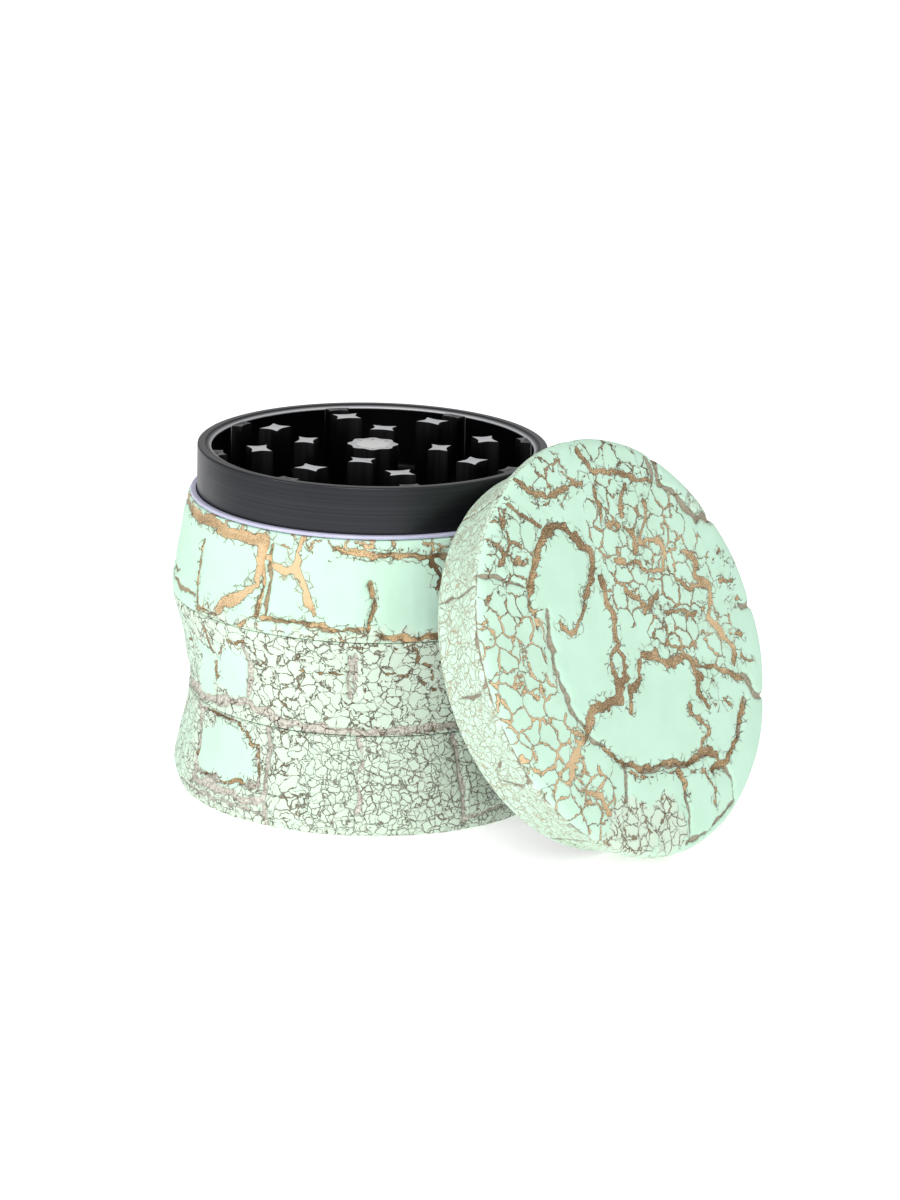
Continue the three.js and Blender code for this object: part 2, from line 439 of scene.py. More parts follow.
CATCHER_LINES = (
    joint(0.9, (-68, 15), (-55, 15.3), (-43, 15.1)),
    joint(1.8, (-66.5, 15.2), (-63, 11), (-62.3, 7), (-63.5, 3.6), depth=0.6),
    joint(0.75, (-35.2, 12.2), (-34.6, 9.5), (-33.2, 6.3)),
    joint(1.1, (-31.2, 15.8), (-30.8, 11), (-30.3, 5), (-30.6, 0)),
    joint(0.7, (-60.5, 5.5), (-50, 5.2), (-45, 5.9), (-33, 6.2)),
    joint(1.3, (-64, 3.9), (-48, 4), (-31, 3.8), depth=0.35),
    joint(0.5, (-61, 2.4), (-46, 2.5), (-31, 2.2), depth=0.3),
    joint(0.5, (-45.5, 2.4), (-43, 0), depth=0.3),
    joint(0.9, (-0.8, 15.8), (-1.2, 9), (-1.6, 4), depth=0.25),
    joint(1.1, (29, 15.8), (30, 10), (30.6, 5), (31.2, 1.5), depth=0.55),
    joint(0.7, (31, 2.4), (45, 2.6), (60, 2.2), depth=0.35),
    crack(0.5, (-43.5, 14.6), (-40.5, 13.9), (-38, 12.6), (-35, 12.4)),
    crack(0.5, (-66, 15.1), (-55, 15.2), (-44, 15)),
    crack(0.4, (-34.8, 12), (-34.3, 9.4), (-33.4, 6.4), (-40, 6.1), (-46, 5.8), (-58, 5.2)),
    crack(0.4, (-63.4, 12.4), (-62.6, 9), (-62.2, 6)),
    *far_side(31, 61.0, 285.0, 31.0, 0.0, 15.8),
)
CATCHER_PATCHES = (
    Patch((-48, 10.2), 5.2, Cover.SMOOTH),
    Patch((-55, 9.4), 4.2, Cover.SMOOTH),
    Patch((-41, 9.4), 3.6, Cover.SMOOTH),
    Patch((-84, 8), 8.5, Cover.HAIR),
    Patch((-23, 9.5), 3.6, Cover.CELLS),
    Patch((-24, 4), 3.4, Cover.CELLS),
    Patch((-23, 14), 3.2, Cover.CELLS),
    Patch((100, 8), 7, Cover.SMOOTH),
    Patch((165, 8), 7.5, Cover.CELLS),
    Patch((225, 8), 7, Cover.VEINED),
)
SIEVE_LINES = (
    joint(
        1.7, (-90, 16.9), (-75, 16.8), (-60, 17.1), (-50, 17.7), (-43, 18.6), (-38, 18.4), (-32, 17.4),
        (-24, 16.7), (0, 16.4), (16, 16.7), (30, 17.1), (60, 16.7), (90, 16.5), (150, 16.9), (210, 16.5),
        (270, 16.9), depth=0.45,
    ),
    joint(1, (-38.5, 29.6), (-38.8, 26.5), (-37.8, 23), (-39.6, 21), (-40.8, 18.6)),
    joint(0.6, (-4.3, 29.2), (-4.8, 25.5), (-5, 22.2)),
    joint(0.6, (-2.6, 29.4), (-3, 25.5), (-3.4, 22.8)),
    joint(0.9, (-71, 31), (-70, 26), (-69, 17.5), depth=0.35),
    joint(0.9, (31, 30), (30, 24), (31, 17.5)),
    crack(0.5, (-55.5, 30.4), (-55, 26.6), (-52.3, 24.8), (-54.2, 22.8), (-52.6, 21.2), (-53.8, 19.2)),
    crack(0.3, (-55, 26), (-60, 26.4), (-66, 27), (-72, 25.2)),
    crack(0.35, (-52, 25), (-49.5, 27.2), (-46, 29.3), (-43, 28.6), (-40, 29.6), (-35, 28.8)),
    crack(0.35, (4, 26.6), (8, 26.1), (14, 26.3), (17, 24.6), (21, 23.8)),
    crack(0.4, (13.4, 31), (14.6, 28.8), (13.8, 26.4)),
    crack(0.35, (17, 28), (19.5, 27.2), (20.8, 25.8)),
    crack(0.25, (-21, 26.1), (-12, 26.2), (-6, 26)),
    *far_side(47, 63.0, 285.0, 34.0, 17.0, 31.0),
)
SIEVE_PATCHES = (
    Patch((-46, 23.5), 4.4, Cover.SMOOTH),
    Patch((-60, 22.5), 4.6, Cover.SMOOTH),
    Patch((-75, 24), 6, Cover.HAIR),
    Patch((-88, 24), 6, Cover.HAIR),
    Patch((105, 24), 7, Cover.SMOOTH),
    Patch((178, 24), 6.5, Cover.VEINED),
    Patch((235, 24), 7, Cover.FINE),
)
CHAMBER_LINES = (
    joint(1.5, (-95, 46), (-70, 46.2), (-45, 46.1), (-33, 45.9), depth=0.4),
    joint(1, (-10, 45.9), (5, 45.3), (24, 44.8), (50, 45.4), (80, 46), depth=0.4),
    joint(0.9, (-95, 34.8), (-80, 34.5), (-61, 34.2), depth=0.35),
    joint(1.1, (-60.5, 42.6), (-59.8, 38.5), (-58.6, 34), (-57, 32.2)),
    joint(0.7, (-58.5, 32.5), (-48.5, 32.3)),
    joint(0.85, (-32.6, 46.5), (-32.4, 40), (-32.8, 34.2)),
    joint(0.85, (-30.2, 45.5), (-29.8, 39.5), (-30, 34)),
    joint(0.8, (-30.5, 33.9), (-18, 33.95), (-2, 33.6)),
    joint(1.1, (0.3, 40.6), (1.4, 37.2), (0.9, 33)),
    joint(1, (4.5, 32.6), (14, 32.3), (40, 32.4), (58, 32.8)),
    joint(1.1, (32, 45), (31, 39), (31.5, 32.5)),
    crack(1.7, (-74, 46.1), (-62, 46.2), (-50, 45.9), (-40, 46), (-33, 45.7)),
    crack(0.8, (-8, 45.9), (4, 45.5), (12, 45.2), (24, 44.8)),
    crack(0.45, (-31, 34.1), (-20, 34.2), (-9, 33.9), (-1, 33.8)),
    crack(0.7, (4.5, 32.7), (14, 32.4), (24, 32.3), (38, 32.5)),
    crack(0.5, (-32.4, 45), (-32, 40), (-32.6, 34.6)),
    crack(0.5, (0.6, 40.2), (1.2, 37.2), (1.4, 33.2)),
    crack(0.4, (-60.2, 42.2), (-59.6, 38.5), (-58.4, 33.2)),
    crack(1.3, (-33.5, 45.5), (-34, 42), (-35.2, 38.8), (-38, 37.2), (-41.5, 35.8), (-45, 35.3), (-46.8, 33.4)),
    crack(1, (-31, 43.6), (-28, 42.2), (-24.5, 41.8), (-22, 42.6), (-21.5, 44.8), (-19, 47.2)),
    crack(1.2, (-22, 42.4), (-19.8, 41.2), (-18, 38.6), (-17, 37.4)),
    crack(0.6, (-17.2, 37.6), (-15.4, 35.4)),
    crack(0.6, (19, 45.2), (20.5, 43.2), (22.6, 41.8), (21.2, 39.8)),
    crack(0.35, (-54.5, 32), (-52.5, 34.5), (-50.5, 32.6)),
    crack(0.3, (-39, 32), (-36, 33.8), (-33, 34.6)),
    *far_side(59, 60.0, 262.0, 30.0, 33.6, 46.4),
)
CHAMBER_PATCHES = (
    Patch((-24, 42), 5, Cover.SMOOTH, 0.6),
    Patch((-38, 38), 4, Cover.SMOOTH, 0.3),
    Patch((21, 42), 3, Cover.SMOOTH, -1.2),
    Patch((18, 32.6), 5, Cover.SMOOTH, -0.7),
    *(Patch((angle, 46.8), 1.4, Cover.WIDE) for angle in range(-90, 270, 6)),
    *(Patch((angle, 31.9), 1.5, Cover.CELLS) for angle in range(-56, 30, 6)),
    Patch((100, 40), 6, Cover.VEINED),
    Patch((160, 39), 6, Cover.CELLS),
    Patch((218, 40), 6, Cover.WIDE),
)
LID_SIDE_LINES = (
    joint(0.6, (148, 10.7), (180, 10.8), (212, 10.7), (238, 10.8), depth=0.3),
    joint(0.6, (178.5, 10.6), (180.5, 6.5), (180, 2.6), depth=0.3),
    joint(0.6, (207, 10.6), (208.5, 7), (207, 2.4), depth=0.3),
    joint(0.6, (152, 11), (151, 5), (151.6, 0.4), depth=0.3),
    joint(0.5, (200.5, 6.8), (203, 3.4), (207, 2.6), depth=0.25),
    joint(0.6, (122, 10.8), (121, 5), (122, 0.4), depth=0.3),
    joint(0.8, (236, 11), (237, 5), (236, 0.4), depth=0.4),
    joint(1, (268, 11), (267, 5), (268.5, 0.4), depth=0.45),
    joint(0.9, (300, 11), (301, 5), (300, 0.4), depth=0.45),
    joint(1.1, (334, 11), (333, 5), (334.5, 0.4), depth=0.45),
    joint(1.1, (359, 11), (360, 5), (359, 0.4), depth=0.45),
    joint(1.1, (27, 11), (28, 5), (27, 0.4), depth=0.45),
    joint(1.1, (57, 11), (56, 5), (57, 0.4), depth=0.45),
    joint(0.9, (88, 11), (87, 5), (88, 0.4), depth=0.4),
    joint(0.8, (240, 2.6), (268, 2.9), (300, 2.4), (334, 2.8), (359, 2.5), depth=0.35),
    joint(0.8, (0, 2.5), (28, 2.9), (57, 2.4), (88, 2.6), depth=0.35),
)
LID_SIDE_PATCHES = (
    Patch((345, 6.5), 5, Cover.SMOOTH),
    Patch((285, 6.5), 5, Cover.CELLS),
    Patch((42, 6.5), 5, Cover.VEINED),
)
LID_FACE_LINES = (
    joint(1.2, (-19.1, 12.9), (-15.4, 17.7), (-12.4, 19.8), (-9.6, 21.2), (-7.6, 20.6)),
    joint(0.9, (-19.1, 12.9), (-19.9, 10), (-19.6, 7.2)),
    joint(1, (-16.3, 8.5), (-17.8, 4.6), (-18.5, 0.2), (-17.7, -5.4), (-15.8, -10.4), (-12.9, -13.7),
          (-10.2, -16.6), (-5.8, -18.7), (-0.2, -19.3), (5.4, -20.1), (10.4, -19.8)),
    joint(1.1, (10.9, -22.4), (14.8, -22.1), (18.7, -19.3), (22, -15.9), (23.4, -14.4)),
    joint(0.8, (2.1, -20.6), (2.9, -24.8), (2.6, -28.2), (1.5, -31.6)),
    joint(0.8, (0.9, -31.6), (5.4, -31), (9.8, -29.7), (14.3, -28.4)),
    joint(0.7, (14.4, -22.3), (14.9, -28.4)),
    joint(1.5, (25.2, -10.2), (26.5, -13.6), (29.8, -14.6), (32.4, -15.2)),
    joint(1.1, (17.4, 26.8), (16.7, 22.9)),
    joint(1.4, (18.8, 26.8), (18.4, 22.4), (20.9, 20.2), (23.7, 16.8), (24.8, 15.2), (29.2, 15.2)),
    joint(0.6, (-28, 17), (-24.6, 15.5), (-19.6, 13.2)),
    joint(0.9, (-9.6, -17.2), (-10.3, -20.2), (-11.2, -22.6)),
    joint(1.2, (29, 0.6), (33, -0.4)),
    crack(0.9, (-18.9, 12.6), (-15.2, 17.5), (-12.4, 19.6), (-9.6, 21), (-7.6, 20.6)),
    crack(0.5, (-19.2, 12.8), (-19.8, 10), (-19.4, 7.4)),
    crack(0.6, (-12.9, -13.6), (-10.2, -16.4), (-5.8, -18.4), (-0.2, -19), (5.4, -19.8), (10.4, -19.5)),
    crack(0.4, (-9, -18.4), (-5, -20), (0.4, -20.4), (4.6, -21.2)),
    crack(0.9, (10.9, -22.4), (14.8, -22.1), (18.7, -19.3), (22, -15.9), (23.4, -14)),
    crack(0.7, (2.4, -20.6), (3.1, -22.6), (2.6, -25.4)),
    crack(0.5, (8.8, -18.8), (12.2, -20.6), (14.2, -22.4)),
    crack(1.5, (-7.4, 20.4), (-6.4, 19), (-5.2, 17.4), (-3.7, 15.4), (-3.3, 13.6), (-4.4, 11.6)),
    crack(0.9, (-4.4, 11.6), (-7.4, 9.6), (-9.2, 7), (-11.3, 5), (-13, 4.6), (-14.8, 6.4)),
    crack(1, (-2.6, 11.4), (-3.1, 8), (-2.4, 4.8), (-3.2, 2.4), (-2.6, 0.6), (-5.7, -0.9), (-6.3, -3),
          (-5.4, -4.4)),
    crack(0.9, (-3.4, 0.2), (-2.9, -2.6), (-3.4, -4.4), (-5.7, -5.4)),
    crack(1.6, (-5, -5), (-6.6, -7.4), (-9.6, -7.3), (-12.6, -7.3)),
    crack(0.9, (-12.6, -7.3), (-14.7, -8.9), (-15.4, -10.4)),
    crack(1.2, (-15.6, -10.4), (-18.5, -12.2), (-20.7, -14.3), (-22.2, -16.6)),
    crack(0.7, (-20.7, -14.3), (-24, -15.2)),
    crack(0.9, (-4.6, -9.2), (-3.4, -6.6), (-0.4, -5.6), (0.4, -3.2), (2.1, -2.1), (5.4, -2.2)),
    crack(1.5, (2.1, -2.2), (4.8, -2.8), (6.5, -4.8), (8.7, -4.9), (10.9, -4.3)),
    crack(1.2, (10.9, -4.3), (12.8, -5.6), (13.4, -7.8), (12.1, -10.4)),
    crack(0.6, (12.1, -10.4), (13.6, -12.8)),
    crack(0.7, (9.6, -11.8), (9.2, -13.2), (10.9, -14.8), (12.2, -16.8), (9.8, -18), (8.6, -19.4)),
    crack(1, (5.4, -20), (8.6, -19.6), (11, -19.2)),
    crack(0.5, (5.4, -21.6), (8.7, -22.4), (9.8, -25.4), (9.2, -27.6)),
    crack(0.9, (-19.8, -18.6), (-17.2, -20.2), (-16, -22.8)),
    crack(0.8, (1.2, 31), (2.6, 27.7), (5.4, 26.8), (8.7, 25.8), (12.6, 24.3), (16.2, 22.9)),
    crack(0.9, (-13.8, 29), (-11.3, 26.3), (-9, 25.4), (-3.5, 26), (-0.2, 26.2)),
    crack(0.5, (-3.6, 28.8), (-2.4, 26.4), (2.4, 27.4)),
    crack(0.6, (-17.6, 26), (-15, 23.6), (-12.6, 21)),
    crack(1.1, (18.7, 11.3), (21, 9.6), (19.9, 7.2), (22.1, 4.6), (21.5, 2.4), (19.8, 0.2), (22.1, -2.6),
          (23.7, -5.4), (22.8, -7.4)),
    crack(0.6, (12.6, -5.4), (15.4, -6.5), (19.8, -8.7), (25, -10.6)),
    crack(0.8, (4.2, 18.6), (6.4, 17.6), (8.2, 15.6), (6.6, 13.2)),
    crack(0.9, (8.6, 14.6), (13, 14.4), (13.6, 11.8), (12.8, 9.4)),
    crack(0.7, (8.6, 14.6), (11, 17.6), (13.2, 20.6)),
    crack(0.7, (6.2, 19.6), (7.6, 22), (9.4, 24)),
    crack(0.6, (1.4, 19.8), (1.8, 23), (2.4, 25.6)),
    crack(0.8, (2.4, 7.9), (4.4, 6.8), (5.2, 4), (7.9, 5), (9.4, 6.2)),
    crack(0.7, (1.6, 13.4), (5, 11.8), (8.8, 10.4), (12.8, 9.4)),
    crack(0.6, (9.6, 3.2), (13.2, 3.2), (16, 1.2), (19.6, 2)),
    crack(0.6, (8.8, 2.2), (8.4, -1.6), (11.4, -2.8)),
    crack(0.6, (14.4, 7.4), (17.2, 5.6), (21, 5.2)),
    crack(0.5, (25.6, 5.2), (28.6, 4.4)),
    crack(0.4, (25.5, 8.8), (28.2, 9.8)),
    crack(0.35, (28.6, 7.4), (31.2, 7)),
    crack(0.4, (26.2, 1.2), (29.2, 1.7)),
    crack(0.35, (24.6, -3.2), (27.4, -4.3)),
    crack(0.35, (25.2, -7), (28.2, -8.6)),
    crack(0.3, (15.6, -8.8), (17, -10.2)),
    crack(0.3, (14.6, -11.6), (15.6, -13.4)),
    crack(0.3, (17.6, -12.4), (18.8, -13.8)),
    crack(0.6, (-24.4, 17), (-22, 18.2), (-20.2, 20), (-18, 19.4)),
    crack(0.5, (-22, 18.2), (-23.2, 21.2)),
    crack(0.5, (-20.2, 20), (-20.8, 23.2), (-18.6, 25)),
)
# painted sheen: the patches along the left band, at negative x, are set close to 1 so their crack ground shows pale
# gold as if catching the light
LID_FACE_PATCHES = (
    Patch((7, 14.5), 9, Cover.VEINED, 0.2),
    Patch((1.5, 20.5), 4, Cover.WIDE),
    Patch((15.5, 8.5), 9, Cover.VEINED, 0.4),
    Patch((11.5, 2), 7, Cover.WIDE),
    Patch((2.2, 7.4), 4.6, Cover.WIDE),
    Patch((18, 19), 4.5, Cover.VEINED, 0.2),
    Patch((21, -2.5), 4.5, Cover.VEINED, 0.7),
    Patch((-22.5, 7.5), 5, Cover.WIDE, 0.7),
    Patch((-26, 3), 6, Cover.WIDE, 0.9),
    Patch((-28.6, 7.5), 4.2, Cover.WIDE, 0.9),
    Patch((-29.6, -1.5), 4.2, Cover.WIDE, 1),
    Patch((-28, -10), 4.4, Cover.WIDE, 0.9),
    Patch((-23.5, -18.5), 4.6, Cover.WIDE, 0.8),
    Patch((-17, -25.5), 4.4, Cover.CELLS, 0.6),
    Patch((-25, -4), 6, Cover.WIDE, 0.9),
    Patch((-22.5, -11), 5.5, Cover.WIDE, 0.7),
    Patch((-18, -21), 5.5, Cover.WIDE, 0.5),
    Patch((-11.5, -27), 5, Cover.CELLS, 0.3),
    Patch((-3.5, -28), 4.6, Cover.CELLS, 0.2),
    Patch((-20, 21), 5, Cover.VEINED),
    Patch((-25, 14), 5, Cover.VEINED),
    Patch((-8, 28), 5, Cover.VEINED),
    Patch((6, 28.5), 5, Cover.VEINED),
    Patch((14, 26), 4.5, Cover.VEINED),
    Patch((27, 18), 4, Cover.HAIR),
)


# ---- finishes


def rgb(red: int, green: int, blue: int) -> Colour:
    """Linear colour of a screen colour."""
    linear = [c / 255 / 12.92 if c <= 10 else ((c / 255 + 0.055) / 1.055) ** 2.4 for c in (red, green, blue)]
    return (*linear, 1.0)


class Wiring:
    """Adds nodes to a node tree and joins them."""

    def __init__(self, tree: bpy.types.NodeTree) -> None:
        """Takes the tree to build in."""
        self.tree = tree

    def add(self, kind: str, inputs: dict[str | int, Input] | None = None, **settings: object) -> bpy.types.Node:
        """Adds a node.

        Args:
            kind: the node's type name.
            inputs: values or sockets for its inputs.
            settings: properties of the node.

        Returns:
            The new node.
        """
        node = self.tree.nodes.new(kind)
        for key, value in settings.items():
            setattr(node, key, value)
        self.feed(node, inputs or {})
        return node

    def feed(self, node: bpy.types.Node, inputs: dict[str | int, Input]) -> None:
        """Joins a node's inputs to sockets, or sets their values.

        Args:
            node: the node to feed.
            inputs: a socket or a value for each input.
        """
        for key, value in inputs.items():
            if isinstance(value, Socket):
                self.tree.links.new(value, node.inputs[key])
            else:
                node.inputs[key].default_value = value

    def sum(self, operation: str, first: Input, second: Input = 0.0, third: Input = 0.0) -> Socket:
        """Result of a Math node."""
        return self.add("ShaderNodeMath", {0: first, 1: second, 2: third}, operation=operation).outputs[0]

    def times(self, first: Input, second: Input) -> Socket:
        """Product of two values."""
        return self.sum("MULTIPLY", first, second)

    def plus(self, first: Input, second: Input) -> Socket:
        """Sum of two values."""
        return self.sum("ADD", first, second)

    def scaled(self, value: Input, factor: Input, start: Input) -> Socket:
        """A value times a factor, added to a start."""
        return self.sum("MULTIPLY_ADD", value, factor, start)

    def step(self, value: Input, low: float, high: float, start: float = 0.0, end: float = 1.0) -> Socket:
        """Smooth step of a value from start at low to end at high."""
        inputs = {"Value": value, "From Min": low, "From Max": high, "To Min": start, "To Max": end}
        return self.add("ShaderNodeMapRange", inputs, interpolation_type="SMOOTHSTEP").outputs[0]

    def blend(self, share: Input, first: Input, second: Input) -> Socket:
        """Colour mixed of two by a share."""
        return self.add("ShaderNodeMix", {0: share, 6: first, 7: second}, data_type="RGBA").outputs[2]

    def noise(self, vector: Socket, scale: float, detail: float = 2.0, rough: float = 0.5, out: str = "Fac") -> Socket:
        """A noise texture."""
        inputs = {"Vector": vector, "Scale": scale, "Detail": detail, "Roughness": rough}
        return self.add("ShaderNodeTexNoise", inputs).outputs[out]

    def centred(self, value: Socket) -> Socket:
        """A value less its usual mean of a half."""
        return self.sum("SUBTRACT", value, 0.5)

    def attribute(self, name: str, output: str = "Fac") -> Socket:
        """An attribute of the piece's points."""
        return self.add("ShaderNodeAttribute", attribute_name=name).outputs[output]

    def place(self) -> Socket:
        """The point in the object's own frame."""
        return self.add("ShaderNodeTexCoord").outputs["Object"]

    def bend(self, vector: Socket, scale: float, reach: float) -> Socket:
        """Pushes a vector about by a noise.

        Args:
            vector: the vector to bend.
            scale: how fine the noise is.
            reach: how far it pushes.

        Returns:
            The bent vector.
        """
        push = self.noise(vector, scale, out="Color")
        centred = self.add("ShaderNodeVectorMath", {0: push, 1: (0.5, 0.5, 0.5)}, operation="SUBTRACT").outputs[0]
        inputs = {0: centred, 1: (reach, reach, reach), 2: vector}
        return self.add("ShaderNodeVectorMath", inputs, operation="MULTIPLY_ADD").outputs[0]


def new_group(
    name: str, inputs: dict[str, str], outputs: Sequence[str],
) -> tuple[Wiring, dict[str, Socket], bpy.types.Node]:
    """Starts a shader node group.

    Args:
        name: the group's name.
        inputs: names of its inputs, and Float, Color or Vector for each.
        outputs: names of its outputs; one named Color is a colour and the rest are numbers.

    Returns:
        The group's wiring, its given inputs by name, and its output node.
    """
    tree = bpy.data.node_groups.new(name, "ShaderNodeTree")
    for label, kind in inputs.items():
        tree.interface.new_socket(label, in_out="INPUT", socket_type=f"NodeSocket{kind}")
    for label in outputs:
        kind = "Color" if label == "Color" else "Float"
        tree.interface.new_socket(label, in_out="OUTPUT", socket_type=f"NodeSocket{kind}")
    wiring = Wiring(tree)
    given = wiring.add("NodeGroupInput")
    return wiring, {label: given.outputs[label] for label in inputs}, wiring.add("NodeGroupOutput")


def new_material(name: str) -> tuple[bpy.types.Material, Wiring, bpy.types.Node]:
    """Starts a material.

    Args:
        name: the material's name.

    Returns:
        The material, its wiring and its main shader.
    """
    material = bpy.data.materials.new(name)
    material.use_nodes = True
    return material, Wiring(material.node_tree), material.node_tree.nodes["Principled BSDF"]


@dataclass(frozen=True)
class Net:
    """One net of flakes: cells a millimetre, thinnest and thickest half crack, and where it breaks off."""

    scale: float
    thin: float
    thick: float
    gaps: float


WIDE_NET = Net(0.3, 0.11, 0.28, 0.07)
MIDDLE_NET = Net(0.47, 0.035, 0.11, 0.03)
FINE_NET = Net(0.72, 0.03, 0.06, 0.015)


@dataclass(frozen=True)
class CracklePaint:
    """Pale mint paint that has split over a gold-brown ground."""

    name: str
    warmth: float = 0.5
    groove: Colour = rgb(224, 218, 208)
    paint: Colour = rgb(196, 231, 209)
    pale: Colour = rgb(200, 235, 214)
    dust: Colour = rgb(224, 223, 206)
    gold: Colour = rgb(232, 202, 158)
    brown: Colour = rgb(120, 97, 70)
    shade: Colour = rgb(62, 52, 42)
    gloss: float = 0.28

    def group(self) -> bpy.types.NodeTree:
        """The crackle shared by every painted piece.

        Returns:
            A node group that gives colour, roughness, metal and height.
        """
        known = bpy.data.node_groups.get("crackle")
        if known:
            return known
        numbers = dict.fromkeys(("Joint", "Crack", "Tone_and_sheen", "Warmth"), "Float")
        colours = dict.fromkeys(("Cover", "Paint", "Pale", "Gold", "Brown", "Shade", "Groove"), "Color")
        outputs = ("Color", "Roughness", "Metallic", "Height")
        w, given, result = new_group("crackle", {**numbers, **colours}, outputs)
        spot = w.add("ShaderNodeVectorMath", {0: w.place(), 3: 1.0 / MM}, operation="SCALE").outputs[0]
        bent = w.bend(w.bend(spot, 0.42, 2.4), 1.9, 0.55)
        fray = w.centred(w.noise(spot, 2.8, 3.0, 0.6))
        nibble = w.centred(w.noise(spot, 0.95))
        broad = w.noise(spot, 0.2)
        lively = w.noise(spot, 0.6, 1.0)
        speck = w.noise(spot, 5.5, 3.0, 0.7)
        wide_cover, middle_cover, fine_cover = w.add("ShaderNodeSeparateColor", {0: given["Cover"]}).outputs[:3]

        def network(net: Net, strength: Socket) -> Socket:
            """Distance outside the cracks of a net, in millimetres.

            Args:
                net: the net of flakes.
                strength: how open its cracks are, where 0 closes them.

            Returns:
                The distance, negative inside a crack.
            """
            inputs = {"Vector": bent, "Scale": net.scale, "Randomness": 1.0}
            cells = w.add("ShaderNodeTexVoronoi", inputs, feature="DISTANCE_TO_EDGE")
            away = w.sum("DIVIDE", cells.outputs["Distance"], net.scale)
            vary = w.times(w.step(broad, 0.35, 0.65), w.step(lively, 0.32, 0.68))
            half = w.times(w.scaled(vary, net.thick - net.thin, net.thin), strength)
            half = w.sum("SUBTRACT", half, w.step(lively, 0.36, 0.46, net.gaps, 0.0))
            ragged = w.scaled(fray, 0.09 + net.thick * 0.7, away)
            closed = w.step(strength, 0.05, 0.2, 1.0, 0.0)
            return w.plus(w.sum("SUBTRACT", ragged, half), closed)

        # how far each point lies outside every kind of line, in millimetres
        beside = w.step(given["Crack"], 0.1, 1.4, 0.65, 0.0)
        wide = network(WIDE_NET, wide_cover)
        middle = network(MIDDLE_NET, w.sum("MAXIMUM", middle_cover, beside))
        fine = network(FINE_NET, fine_cover)
        drawn = w.scaled(nibble, 1.1, w.scaled(fray, 0.5, given["Crack"]))
        cut = w.scaled(nibble, 0.3, w.scaled(fray, 0.3, given["Joint"]))
        big = w.sum("MINIMUM", drawn, wide)
        small = w.sum("MINIMUM", middle, fine)
        split = w.sum("MINIMUM", big, small)
        big_mask = w.step(big, -0.03, 0.04, 1.0, 0.0)
        small_mask = w.step(small, -0.03, 0.045, 1.0, 0.0)
        cut_mask = w.step(cut, -0.08, 0.1, 1.0, 0.0)
        rim = w.step(split, 0.0, 0.3, 1.0, 0.0)

        # the paint, the ground that shows through splits, with painted shadow at its inner edges and painted sheen in
        # its gold, and the bare stone of the joints, with painted shade along their edges
        body = w.blend(w.step(broad, 0.35, 0.65), given["Paint"], given["Pale"])
        body = w.blend(w.times(w.sum("MAXIMUM", middle_cover, fine_cover), 0.42), body, self.dust)
        body = w.blend(w.times(rim, 0.16), body, given["Groove"])
        # painted sheen: the patches' setting, the glint speckle and the broad noise push the crack ground from brown
        # towards pale gold
        toned_and_sheen = w.plus(given["Warmth"], given["Tone_and_sheen"])
        glint = w.times(w.centred(speck), 4.5)
        warmth_and_sheen = w.plus(w.plus(toned_and_sheen, glint), w.step(broad, 0.3, 0.7, -0.25, 0.25))
        ground = w.blend(warmth_and_sheen, given["Brown"], given["Gold"])
        # painted shadow: the ground darkens towards the inner edges of wide cracks, as under the paint's edge
        ground = w.blend(w.times(w.step(big, -0.1, -0.02), 0.75), ground, given["Shade"])
        # thin cracks go from the painted shade colour to brown, and to gold where the ground carries painted sheen
        thin_tone = w.blend(w.plus(warmth_and_sheen, 0.1), given["Shade"], given["Brown"])
        thin_tone = w.blend(w.step(given["Tone_and_sheen"], 0.2, 1.0), thin_tone, given["Gold"])
        grain = w.step(w.noise(spot, 2.4, 3.0, 0.7), 0.36, 0.56)
        stone = w.blend(w.scaled(grain, 0.6, 0.4), given["Brown"], given["Groove"])
        # painted shade: the stone darkens along the edges of the joints
        edge_dark = w.step(w.scaled(nibble, 0.5, cut), -0.2, 0.0)
        stone = w.blend(w.times(edge_dark, 0.5), stone, given["Shade"])
        colour = w.blend(w.times(small_mask, 0.86), body, thin_tone)
        colour = w.blend(w.times(cut_mask, 0.88), colour, stone)

        # flakes stand proud of the ground and curl up at their edges
        bare = w.sum("MAXIMUM", big_mask, cut_mask)
        rough = w.scaled(w.centred(speck), 0.25, 0.6)
        sunk = w.times(w.step(split, -0.08, 0.08), 0.15)
        curl = w.times(w.step(split, 0.05, 0.45, 1.0, 0.0), 0.025)
        grit = w.times(w.centred(speck), w.scaled(bare, 0.12, 0.01))
        w.feed(result, {
            "Color": w.blend(big_mask, colour, ground),
            "Metallic": w.scaled(cut_mask, 0.2, w.times(big_mask, 0.4)),
            "Roughness": w.scaled(bare, -0.14, rough),
            "Height": w.plus(w.plus(sunk, curl), grit),
        })
        return w.tree

    def material(self) -> bpy.types.Material:
        """The paint as a material.

        Returns:
            The material, which reads the joint, crack and cover attributes.
        """
        material, w, shader = new_material(self.name)
        crackle = w.add("ShaderNodeGroup")
        crackle.node_tree = self.group()
        w.feed(crackle, {
            "Joint": w.attribute("joint"), "Crack": w.attribute("crack"), "Cover": w.attribute("cover", "Color"),
            "Tone_and_sheen": w.attribute("cover", "Alpha"), "Warmth": self.warmth, "Paint": self.paint, "Pale": self.pale,
            "Gold": self.gold, "Brown": self.brown, "Shade": self.shade, "Groove": self.groove,
        })
        bump = w.add("ShaderNodeBump", {"Strength": 1.0, "Distance": MM, "Height": crackle.outputs["Height"]})
        w.feed(shader, {
            "Base Color": crackle.outputs["Color"], "Roughness": crackle.outputs["Roughness"],
            "Metallic": crackle.outputs["Metallic"], "Normal": bump.outputs["Normal"],
            "Specular IOR Level": self.gloss,
        })
        return material


